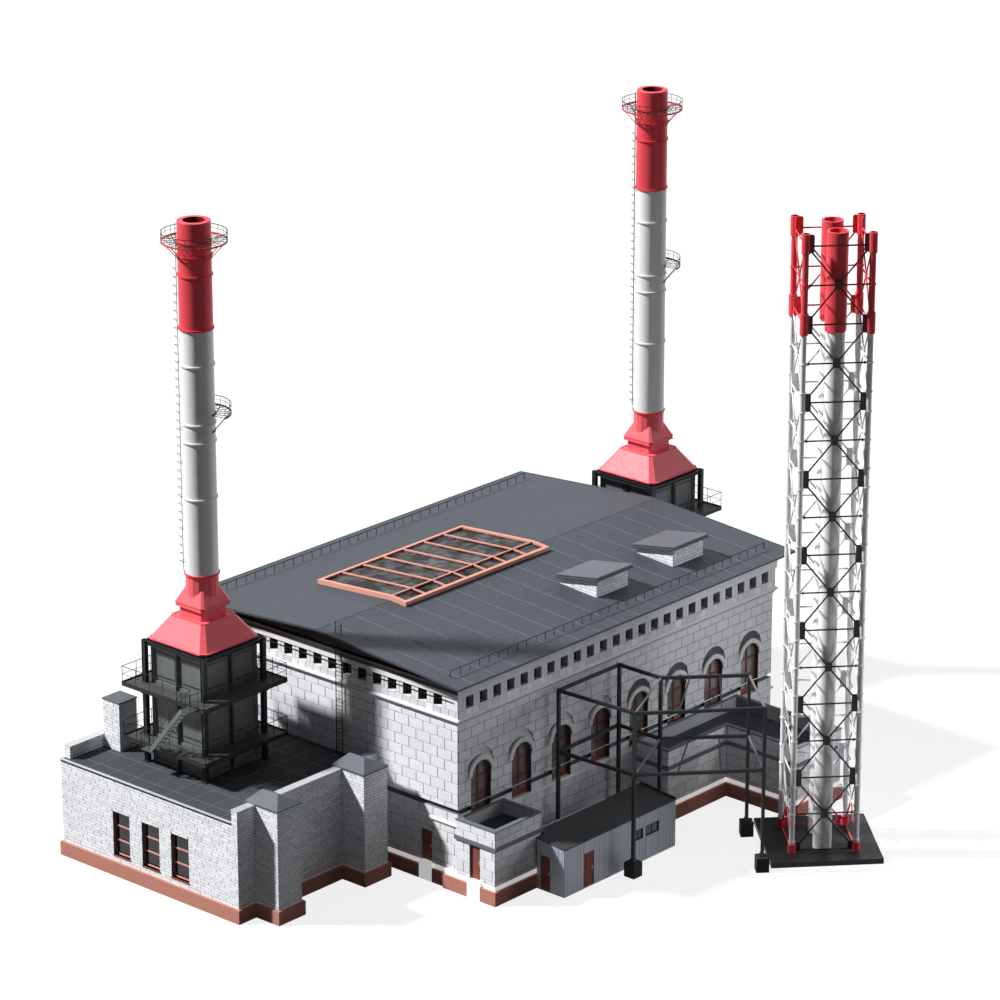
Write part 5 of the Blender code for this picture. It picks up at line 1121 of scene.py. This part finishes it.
def west_bricks():
    """Bricks of the west annex, its parapets and its two buttresses."""
    maker = Maker("west_annex_bricks", BRICK, BRICK_JOINTS)
    edge, base, top, out = ANNEX_ROOF_Z - 0.03, ANNEX_ROOF_Z, ANNEX_PARAPET_Z, BRICK_OUT
    deep, wide, clear = HALL_W - WEST_Y, -WEST_X, 0.002
    west, south, north = Wall("west", WEST_X, HALL_W), Wall("south", WEST_X, WEST_Y), Wall("north", -clear, HALL_W)
    for wall, length in ((west, deep), (south, wide - clear), (north, wide)):
        brick_backing(maker, wall, length)
    windows = [(HALL_W - b, HALL_W - a, ANNEX_SILL, ANNEX_HEAD) for a, b in ANNEX_WINDOWS]
    bricks(maker, west, -out, deep + out, BRICK_FOOT, edge, windows, seed=71.0)
    bricks(maker, west, deep - ANNEX_T, deep + out, edge, top, seed=72.0)
    bricks(maker, south, -out, wide - clear, BRICK_FOOT, top,
           [(x0 + wide, x1 + wide, 0.0, 5.0) for x0, x1 in BUTTRESSES], seed=73.0)
    bricks(maker, Wall("north", -clear, WEST_Y + ANNEX_T), 0.0, wide, base, top,
           [(-x1, -x0, 0.0, 5.0) for x0, x1 in BUTTRESSES], seed=74.0)
    bricks(maker, north, 0.0, wide + out, BRICK_FOOT, edge, seed=75.0)
    depth, inner, foot = BUTTRESS_BACK - BUTTRESS_Y, BUTTRESS_BACK - WEST_Y, WEST_Y - BUTTRESS_Y
    for k, (x0, x1) in enumerate(BUTTRESSES):
        front, right = Wall("south", x0, BUTTRESS_Y), Wall("east", x1, BUTTRESS_Y)
        for wall, length in ((front, x1 - x0), (Wall("west", x0, WEST_Y), foot), (right, foot)):
            brick_backing(maker, wall, length)
        bricks(maker, front, -out, x1 - x0 + out, BRICK_FOOT, BUTTRESS_TOP, seed=76.0 + k)
        bricks(maker, Wall("west", x0, BUTTRESS_BACK), 0.0, depth + out, BRICK_FOOT, BUTTRESS_TOP,
               [(-1.0, inner, 0.0, top)], seed=78.0 + k)
        bricks(maker, right, -out, depth, BRICK_FOOT, BUTTRESS_TOP, [(depth - inner, 9.0, 0.0, top)], seed=80.0 + k)
        bricks(maker, Wall("north", x1, BUTTRESS_BACK), 0.0, x1 - x0, base, BUTTRESS_TOP, seed=82.0 + k)
    r0, r1 = BACK_PARAPET_X
    for wall, length, seed in ((Wall("north", r1, HALL_W), r1 - r0, 84.0),
                               (Wall("south", r0, HALL_W - ANNEX_T), r1 - r0, 85.0),
                               (Wall("west", r0, HALL_W), ANNEX_T, 86.0)):
        bricks(maker, wall, 0.0, length, base, top, seed=seed)
    maker.done()


def stack():
    """Brick stack on the annex roof under a thin flush cap."""
    maker = Maker("brick_stack_shell", BRICK, BRICK_JOINTS, CAP_SHEET)
    (x0, x1), (y0, y1), cap = STACK_X, STACK_Y, STACK_TOP - 0.045
    for wall, length in ((Wall("west", x0, y1), y1 - y0), (Wall("south", x0, y0), x1 - x0),
                         (Wall("east", x1, y0), y1 - y0), (Wall("north", x1, y1), x1 - x0)):
        bricks(maker, wall, -BRICK_OUT, length + BRICK_OUT, ANNEX_ROOF_Z, STACK_TOP - 0.05, seed=88.0 + wall.out.x)
    for lap, low, high, slot in ((0.0, ANNEX_ROOF_Z + 0.0005, cap, 1), (0.022, cap, STACK_TOP, 2),
                                 (-0.12, STACK_TOP, STACK_TOP + 0.006, 2)):
        maker.box(x0 - lap, x1 + lap, y0 - lap, y1 + lap, low, high, slot)
    maker.done(("brick_stack",))


def east_bricks():
    """Bricks of the east annex."""
    maker = Maker("east_annex_bricks", BRICK, BRICK_JOINTS)
    start, out = HALL_L + 0.002, BRICK_OUT
    wide, deep = EAST_X - start, HALL_W - EAST_Y
    windows = [(a - EAST_Y, b - EAST_Y, ANNEX_SILL, ANNEX_HEAD) for a, b in ANNEX_WINDOWS]
    for wall, length, first, last, holes, seed in (
        (Wall("east", EAST_X, EAST_Y), deep, -out, deep + out, windows, 91.0),
        (Wall("south", start, EAST_Y), wide, 0.0, EAST_X - HALL_L + out, (), 92.0),
        (Wall("north", EAST_X, HALL_W), wide, -out, EAST_X - HALL_L, (), 93.0),
    ):
        brick_backing(maker, wall, length)
        bricks(maker, wall, first, last, BRICK_FOOT, ANNEX_ROOF_Z - 0.03, holes, seed=seed)
    maker.done()


west_bricks()
stack()
east_bricks()


def hipped_cap(maker, x0, x1, slot):
    """Sheet cap with a drip edge over a buttress."""
    lap, mid, half = 0.03, (x0 + x1) / 2, (x1 - x0) / 2
    left, right, front, back = x0 - lap, x1 + lap, BUTTRESS_Y - lap, BUTTRESS_BACK + lap
    foot, peak = BUTTRESS_TOP + 0.034, BUTTRESS_RIDGE + 0.004
    maker.box(left, right, front, back, BUTTRESS_TOP - 0.026, foot, slot)
    hip, end = (mid, BUTTRESS_Y + half * 0.9, peak), (mid, BUTTRESS_BACK - 0.22, peak)
    a, b, c, d = ((left, front, foot), (right, front, foot), (right, back, foot), (left, back, foot))
    for points in ((a, b, hip), (b, c, end, hip), (c, d, end), (d, a, hip, end), (d, c, b, a)):
        maker.face(points, slot)


def annex_trims():
    """White edge metal, copings, caps and the joints of the felt."""
    maker = Maker("annex_trims", GALVANISED, CAP_SHEET, SEAM, STEEL)
    top, parapet, coping = ANNEX_ROOF_Z, WEST_Y + ANNEX_T, ANNEX_PARAPET_Z
    west, east, start, north = WEST_X, EAST_X, HALL_L + 0.002, HALL_W + 0.02
    for x0, x1, y0, y1, z0, z1, slot in (
        (west - 0.030, west + 0.05, parapet + 0.004, north, top - 0.008, top + 0.022, 0),
        (west - 0.020, west + 0.02, parapet + 0.004, HALL_W + 0.01, top - 0.040, top - 0.010, 3),
        (west - 0.028, west + 0.02, parapet + 0.004, HALL_W + 0.01, top - 0.058, top - 0.044, 3),
        (west, -0.002, HALL_W - 0.04, north, top - 0.010, top + 0.022, 0),
        (west - 0.025, -0.002, WEST_Y - 0.025, parapet + 0.02, coping - 0.002, coping + 0.020, 0),
        (BACK_PARAPET_X[0] - 0.02, BACK_PARAPET_X[1] + 0.02, HALL_W - ANNEX_T - 0.02, north,
         coping - 0.002, coping + 0.020, 0),
        (east - 0.05, east + 0.030, EAST_Y - 0.02, north, top - 0.008, top + 0.022, 0),
        (start, east, EAST_Y - 0.030, EAST_Y + 0.05, top - 0.008, top + 0.022, 0),
        (start, east, HALL_W - 0.04, north, top - 0.008, top + 0.022, 0),
    ):
        maker.box(x0, x1, y0, y1, z0, z1, slot)
    for x0, x1 in BUTTRESSES:
        hipped_cap(maker, x0, x1, 1)
    sheet = 0.83
    for x0, x1, y in ((west + 0.06, -0.01, parapet + 0.55), (HALL_L + 0.01, east - 0.06, EAST_Y + 0.6)):
        while y < HALL_W - 0.3:
            maker.box(x0, x1, y - 0.008, y + 0.008, top + 0.0005, top + 0.006, 2)
            y += sheet
    for i in range(7):
        x = west + 0.9 * (i + 0.6)
        maker.box(x, x + 0.012, parapet + 0.02, HALL_W - 0.3, top + 0.0005, top + 0.004, 2)
    maker.done()


annex_trims()

# ---------------------------------------------------------------- boiler units
def unit_steel(side, cx):
    """Columns, beams, railed decks and the stair of one boiler unit."""
    maker = Maker(side + "_unit_steel", STEEL, DECKING, CASING)
    maker.move = Matrix.Translation((cx, UNIT_Y, 0.0))
    low, top, c, d = ANNEX_ROOF_Z + 0.001, 7.38, COLUMN_AT, DECK_HALF
    for sx, sy in ((-1, -1), (-1, 1), (1, -1), (1, 1)):
        x, y = sx * c, sy * c
        for a0, a1, b0, b1, head in ((-0.075, 0.075, -0.075, -0.057, top), (-0.075, 0.075, 0.057, 0.075, top),
                                     (-0.060, -0.044, -0.057, 0.057, top), (0.044, 0.060, -0.057, 0.057, top),
                                     (-0.12, 0.12, -0.12, 0.12, low + 0.03)):
            maker.box(x + a0, x + a1, y + b0, y + b1, low, head)
        for z in DECKS:
            maker.bar((x, y + sy * 0.06, z - 0.40), (x, sy * (d - 0.05), z - 0.05), 0.04)
            maker.bar((x + sx * 0.06, y, z - 0.40), (sx * (d - 0.05), y, z - 0.05), 0.04)
    inside, flange = c - 0.07, 0.018
    for z0, z1 in ((7.235, 7.365), *[(z - 0.16, z - 0.035) for z in DECKS]):
        for s in (-c, c):
            for half, low_z, high_z in ((0.05, z0, z0 + flange), (0.05, z1 - flange, z1), (0.010, z0, z1)):
                maker.box(-inside, inside, s - half, s + half, low_z, high_z)
                maker.box(s - half, s + half, -inside, inside, low_z, high_z)
    hole, outer, r = CASING_HALF + 0.002, -d - STAIR_W, d - 0.012
    for k, z in enumerate(DECKS):
        for x0, x1, y0, y1 in ((-d, d, -d, -hole), (-d, d, hole, d),
                               (-d, -hole, -hole, hole), (hole, d, -hole, hole)):
            maker.box(x0, x1, y0, y1, z - 0.022, z, 1)
        for i in range(1, 24):
            u = -d + 2 * d * i / 24
            for y0, y1 in ((-d, -hole), (hole, d)):
                maker.box(u - 0.006, u + 0.006, y0, y1, z, z + 0.005)
        for s in (-d, d):
            maker.box(-d, d, s - 0.014, s + 0.001, z - 0.10, z + 0.05)
            maker.box(s - 0.014, s + 0.001, -d, d, z - 0.10, z + 0.05)
        gap = (STAIR_Y[0], STAIR_Y[0] + STAIR_W) if k == 0 else (STAIR_Y[1] - STAIR_W, STAIR_Y[1])
        far, edge = gap[1 - k], outer + 0.01
        for a, b in (((-r, -r), (r, -r)), ((r, -r), (r, r)), ((r, r), (-r, r)),
                     ((-r, r), (-r, gap[1])), ((-r, gap[0]), (-r, -r))):
            railing(maker, (*a, z), (*b, z), RAIL_H, RAIL_PITCH)
        maker.box(outer, -d + 0.01, gap[0], gap[1], z - 0.03, z, 1)
        railing(maker, (edge, gap[0], z), (edge, gap[1], z), RAIL_H, STAIR_W)
        railing(maker, (edge, far, z), (-r, far, z), RAIL_H, STAIR_W)
    (ya, yb), (za, zb), treads, posts = STAIR_Y, DECKS, 10, 4
    for x in (outer + 0.012, -d - 0.012):
        maker.bar((x, ya, za - 0.02), (x, yb, zb - 0.02), 0.016, 0.13, 2)
        maker.bar((x, ya, za + RAIL_H), (x, yb, zb + RAIL_H), 0.016)
        for i in range(posts):
            spot = Vector((x, ya, za)).lerp((x, yb, zb), (i + 0.5) / posts)
            maker.bar(spot, spot + UP * RAIL_H, 0.014)
    for i in range(1, treads + 1):
        y, z = ya + (yb - ya) * i / (treads + 1), za + (zb - za) * i / (treads + 1)
        maker.box(outer + 0.018, -d - 0.018, y - 0.065, y + 0.065, z - 0.018, z, 1)
    maker.done((side + "_casing_frame",))


def casing_trims(side, cx):
    """Stiffeners, corner angles and door plates on the boiler casing."""
    maker = Maker(side + "_casing_trims", STEEL, CASING)
    a, low, top = CASING_HALF, ANNEX_ROOF_Z + 0.001, CASING_TOP
    for turn in range(4):
        maker.move = Matrix.Translation((cx, UNIT_Y, 0.0)) @ Matrix.Rotation(math.pi / 2 * turn, 4, "Z")
        maker.box(-0.055, 0.055, -a - 0.022, -a + 0.01, low, top - 0.14)
        maker.box(-0.018, 0.018, -a - 0.040, -a - 0.022, low, top - 0.14)
        maker.box(-a, a, -a - 0.015, -a + 0.01, top - 0.13, top - 0.005)
        for s in (-1, 1):
            maker.box(*sorted((s * a, s * (a - 0.055))), -a - 0.010, -a + 0.01, low, top - 0.13, 1)
            u0, u1 = sorted((s * 0.16, s * (a - 0.19)))
            for z0, z1 in ((3.62, 3.98), (4.45, 5.70), (6.20, 7.05)):
                maker.box(u0, u1, -a + 0.036, -a + 0.056, z0, z1, 1)
                for v in (z0 + 0.02, z1 - 0.045):
                    maker.box(u0 + 0.03, u1 - 0.03, -a + 0.026, -a + 0.040, v, v + 0.022)
    maker.done()


def hood_trims(side, cx):
    """Rolled edges and flange plates of the red hood."""
    maker = Maker(side + "_hood_trims", HOOD_RED)
    maker.move = Matrix.Translation((cx, UNIT_Y, 0.0))
    for half, z0, z1 in ((1.275, 7.428, 7.468), (0.742, 8.178, 8.206), (0.645, 8.520, 8.545), (0.645, 8.628, 8.655)):
        ring = octagon(half, half, 0.17 * half / 1.265)
        maker.skin([[(x * share, y * share, z) for x, y in ring]
                    for share, z in ((0.90, z0), (1.0, z0), (1.0, z1), (0.90, z1))], caps=False, loop=True)
    maker.done()


def chimney(side, cx):
    """White and red shell with flanges, open at the top."""
    maker = Maker(side + "_chimney_shell", WHITE, RED, SOOT)
    r, lip, first_red, foot = CHIMNEY_R, 0.036, 17.5, CHIMNEY_Z + 0.05
    points = [(CHIMNEY_BORE, CHIMNEY_Z + 0.001), (r + 0.04, CHIMNEY_Z + 0.001), (r + 0.04, foot), (r, foot)]
    slots = [1, 1, 1]
    for z in FLANGES:
        red = int(z > first_red)
        points += [(r, z - 0.05), (r + lip, z - 0.05), (r + lip, z), (r, z)]
        slots += [int(z > first_red + 0.5), red, red, red]
    points += [(r, CHIMNEY_TOP - 0.015), (r - 0.015, CHIMNEY_TOP), (CHIMNEY_BORE, CHIMNEY_TOP)]
    maker.turned(points, 64, slots + [1, 1, 1, 2], (cx, UNIT_Y), True)
    maker.done((side + "_chimney",))


def gallery(side, cx):
    """Open ring gallery on struts, the half gallery, and the ladder with its hoops."""
    maker = Maker(side + "_gallery_steel", STEEL, RED, GREY_BAR)
    maker.move = Matrix.Translation((cx, UNIT_Y, 0.0))
    inner, rim, strut = CHIMNEY_R + 0.004, GALLERY_R - 0.012, 0.56
    for z, start, sweep, posts, ring_slot in ((GALLERY_Z, 0.0, math.tau, 24, 1),
                                              (HALF_DECK_Z, -math.pi * 0.45, math.pi * 0.70, 10, 0)):
        for dz, radius, thick, tall, sides, slot in (
            (-0.03, rim, 0.022, 0.055, 64, ring_slot), (-0.02, inner + 0.012, 0.020, 0.05, 48, ring_slot),
            (-0.008, inner + (rim - inner) / 3, 0.007, 0.008, 48, 0),
            (-0.008, inner + (rim - inner) * 2 / 3, 0.007, 0.008, 48, 0),
            (GALLERY_RAIL, rim, 0.020, 0.020, 64, 0), (GALLERY_RAIL / 2, rim, 0.010, 0.010, 64, 0),
            (-strut, inner + 0.006, 0.018, 0.05, 48, ring_slot),
        ):
            maker.hoop(z + dz, radius, thick, tall, sides, slot, start, sweep)
        gaps = 24 if ring_slot else 9
        for i in range(posts):
            a = start + sweep * i / gaps
            spot = Vector((math.cos(a), math.sin(a), 0))
            maker.bar(spot * inner + UP * (z - 0.02), spot * rim + UP * (z - 0.02), 0.012, 0.018)
            maker.bar(spot * rim + UP * (z - 0.03), spot * rim + UP * (z + GALLERY_RAIL), 0.010)
            if i % 3 == 0:
                foot, head = spot * (inner + 0.006) + UP * (z - strut), spot * (rim - 0.02) + UP * (z - 0.05)
                maker.bar(foot, head, 0.022, slot=ring_slot)
    turn, stand, half, hoop_pitch = math.pi * 0.75, CHIMNEY_R + 0.045, 0.11, 0.27
    out, across = Vector((math.cos(turn), math.sin(turn), 0)), Vector((-math.sin(turn), math.cos(turn), 0))
    low, high = CHIMNEY_Z + 0.15, GALLERY_Z + 0.53
    ladder(maker, out * stand + UP * low, out * stand + UP * high, across, half * 2, 0.30, 0.011)
    z, k = low + 0.25, 0
    while z < GALLERY_Z - 0.87:
        for way in (-1, 1):
            rail = out * stand + across * way * half
            maker.bar(rail + UP * (z - 0.04), out * (stand + 0.11) + UP * (z + 0.02), 0.014, slot=2)
            if k % 4 == 0:
                maker.bar(rail + UP * z, out * (inner - 0.01) + across * way * 0.10 + UP * z, 0.014)
        z += hoop_pitch
        k += 1
    maker.done((side + "_gallery",))


for side, cx in zip(("west", "east"), UNIT_X):
    for build in (unit_steel, casing_trims, hood_trims, chimney, gallery):
        build(side, cx)


# ---------------------------------------------------------------- trestle
def pipe_trestle():
    """Concrete footings, box posts, two rows of beams and thin ties in the turned bay."""
    maker = Maker("trestle_steel", DARK_CONCRETE, STEEL, GREY_BAR)
    places = [Vector((x, y, 0.0)) for x, y in TRESTLE]
    a, b, d, c, e, f = places
    for k, spot in enumerate(places):
        maker.move = Matrix.Translation(spot) @ Matrix.Rotation(TOWER_TURN if k > 3 else 0.0, 4, "Z")
        half, top = (FOOTING_HALF, FOOTING_H) if k > 2 else (0.10, FOOTING_H / 4)
        maker.skin([square(half, 0.0005), square(half, top - 0.02), square(half - 0.02, top)])
        shoe = [square(0.095, top), square(0.095, top + 0.02), square(0.052, top + 0.12)]
        maker.skin([*shoe, square(0.050, BEAMS[1] + 0.05)], 1)
        for x, y, _ in square(0.078, 0):
            maker.tube((x, y, top + 0.02), (x, y, top + 0.038), 0.009, 6, 1)
    maker.move = Matrix.Identity(4)
    for z in BEAMS:
        up = UP * z
        for p, q in ((a, b), (b, d), (c, a), (c, f), (d, e)):
            along = (q - p).normalized()
            maker.bar(p + up + along * 0.045, q + up - along * 0.045, 0.085, 0.10, 1)
            for foot, way in ((p, along), (q, -along)):
                maker.bar(foot + way * 0.052 + up, foot + way * 0.068 + up, 0.115, 0.135, 1)
        for p, q in ((c, d), (e, f)):
            maker.bar(p + up, q + up, 0.055, slot=2)
        for k in (1, 2):
            maker.bar(c.lerp(f, k / 3) + up, d.lerp(e, k / 3) + up, 0.045, slot=1)
    maker.done(("trestle",))


pipe_trestle()

# ---------------------------------------------------------------- lattice tower
TOWER_PLACE = Matrix.Translation((*TOWER_AT, 0.0)) @ Matrix.Rotation(TOWER_TURN, 4, "Z")
TOWER_FOOT = TOWER_BASE_H + 0.0005


def lattice_tower():
    """Tubular legs with collars, gusset plates and crossed bracing; dark steel and dark red on the near face and
    inside the leg tops stand for painted shade.
    """
    maker = Maker("tower_steel", TUBE, RED, STEEL, SHADE_RED)
    maker.move = TOWER_PLACE
    h, slim, pipe, rod = TOWER_HALF, LEG_R + 0.01, 0.085, 0.027
    levels = [TOWER_FIRST_Z + TOWER_BAY * k for k in range(TOWER_BAYS + 1)]
    low_end, high_end = RED_Z + 0.66, TOWER_TOP - 0.63
    leg = ((SLEEVE_R, TOWER_FOOT), (SLEEVE_R, 0.47), (LEG_R, 0.47), (LEG_R, RED_Z),
           (SLEEVE_R, RED_Z), (SLEEVE_R, low_end), (slim, low_end), (slim, high_end),
           (SLEEVE_R, high_end), (SLEEVE_R, TOWER_TOP),
           (pipe, TOWER_TOP), (pipe, TOWER_TOP - 0.4), (0.002, TOWER_TOP - 0.4))
    for x, y, _ in square(h, 0):
        # The leg tops' bores are dark red, as painted shade.
        maker.turned(leg, 24, (1, 1, 0, 1, 1, 1, 1, 1, 1, 1, 3, 3), (x, y))
        for z in levels:
            for spot in (z - 0.31, z + 0.31, z + TOWER_BAY / 2):
                red = spot > RED_Z
                if 0.5 < spot < TOWER_TOP - 0.06 and (not red or spot - z > 1.0):
                    r = slim if red else LEG_R
                    near, far, low, high = r - 0.01, r + 0.024, spot - 0.022, spot + 0.022
                    collar = ((near, low), (far, low), (far, high), (near, high))
                    maker.turned(collar, 20, [int(red)] * 4, (x, y), True)
    for face in range(4):
        maker.move = TOWER_PLACE @ Matrix.Rotation(math.pi / 2 * face, 4, "Z")
        # The near face takes dark steel and dark red as painted shade; the other faces take pale and red paint.
        usual, warm = (2, 3) if face == 0 else (0, 1)

        def pad(u, z, half_u, half_z, slot, depth=0.018):
            outline = octagon(half_u, half_z, min(half_u, half_z) * 0.45, u, z)
            maker.prism(outline, "X", -h - depth, -h + depth, slot)

        def strut(u0, z0, u1, z1, slot, radius=rod, sides=8):
            maker.tube((-h, u0, z0), (-h, u1, z1), radius, sides, slot)

        for k, z in enumerate(levels):
            tie = warm if (z > RED_Z or k == 0) else usual
            mid_z, half_z = (TOWER_TOP - 0.32 if k == TOWER_BAYS else z, 0.29) if k else (0.36, 0.14)
            for s in (-1, 1):
                pad(s * (h - 0.175), mid_z, 0.090, half_z, tie)
            strut(-h + 0.20, z, h - 0.20, z, tie, rod + 0.001)
            if k == TOWER_BAYS:
                break
            mid = z + TOWER_BAY / 2
            upper = warm if z > RED_Z - 0.01 else usual
            middle = warm if mid > RED_Z else usual
            pad(0.0, mid, 0.11, 0.15, middle, 0.026)
            for s in (-1, 1):
                strut(s * (h - 0.20), z + 0.20, s * 0.04, mid - 0.06, tie)
                strut(s * 0.04, mid + 0.06, s * (h - 0.20), z + TOWER_BAY - 0.20, upper)
                strut(s * 0.05, mid, s * (h - 0.08), mid, middle)
                strut(s * (h - 0.175), mid, s * (h - 0.150), mid, middle, 0.055, 12)
    maker.move = TOWER_PLACE
    maker.done(("tower_frame_front", "tower_frame_back", "tower_bracing_right", "tower_bracing_left"))


def flues():
    """Two flue pipes, red at their heads and open at the top."""
    maker = Maker("tower_flues", WHITE, RED, SOOT)
    maker.move = TOWER_PLACE
    bore = FLUE_R - 0.035
    pipe = ((bore, TOWER_FOOT), (FLUE_R, TOWER_FOOT), (FLUE_R, RED_Z), (FLUE_RED_R, RED_Z),
            (FLUE_RED_R, FLUE_TOP), (bore, FLUE_TOP))
    for at in FLUES:
        maker.turned(pipe, 48, (0, 0, 1, 1, 1, 1), at, True)
    maker.done(("flue_front", "flue_rear"))


lattice_tower()
flues()


# ---------------------------------------------------------------- doors
def door_trim(name, wall, width, height, handle_u):
    """Raised panels, rails and a lever handle on one door leaf."""
    maker = Maker(name + "_trim", BROWN, GALVANISED)
    edge, hinge_edge, split, rim = 0.045, 0.085, height * 0.42, 0.03
    lever = sorted((handle_u, handle_u + (0.055 if handle_u < width / 2 else -0.055)))
    for v0, v1 in ((edge, split), (split + edge, height - edge)):
        plate(maker, wall, hinge_edge, width - edge, v0, v1, 0.0004, 0.006)
        plate(maker, wall, hinge_edge + rim, width - edge - rim, v0 + rim, v1 - rim, 0.006, 0.010)
    plate(maker, wall, handle_u - 0.012, handle_u + 0.012, height * 0.44, height * 0.56, 0.0004, 0.010, 1)
    plate(maker, wall, handle_u - 0.008, handle_u + 0.008, height * 0.50, height * 0.515, 0.010, 0.030, 1)
    plate(maker, wall, *lever, height * 0.50, height * 0.515, 0.024, 0.032, 1)
    maker.done(body=name)


leaf_low, shed_leaf_low, shed_in, gap = FLOOR + 0.006, 0.036, 0.0247, 0.006
shed_front = Wall("south", SHED_DOOR[0] + gap, SHED_Y[0] + shed_in, shed_leaf_low)
shed_end = Wall("west", SHED_X[0] + shed_in, SHED_END_DOOR[1] - gap, shed_leaf_low)
door_trim("hall_side_door", Wall("west", 0.06, 1.529, leaf_low), 0.413, 1.043, 0.36)
door_trim("porch_door", Wall("west", PORCH_X[0] + 0.06, -0.576, leaf_low), 0.403, 1.163, 0.35)
door_trim("wing_door", Wall("south", WING_DOOR[0] + gap, WING_Y[1] + 0.06, leaf_low), 0.438, 1.163, 0.385)
door_trim("shed_front_door", shed_front, 0.468, 1.133, 0.42)
door_trim("shed_end_door", shed_end, 0.388, 1.133, 0.34)
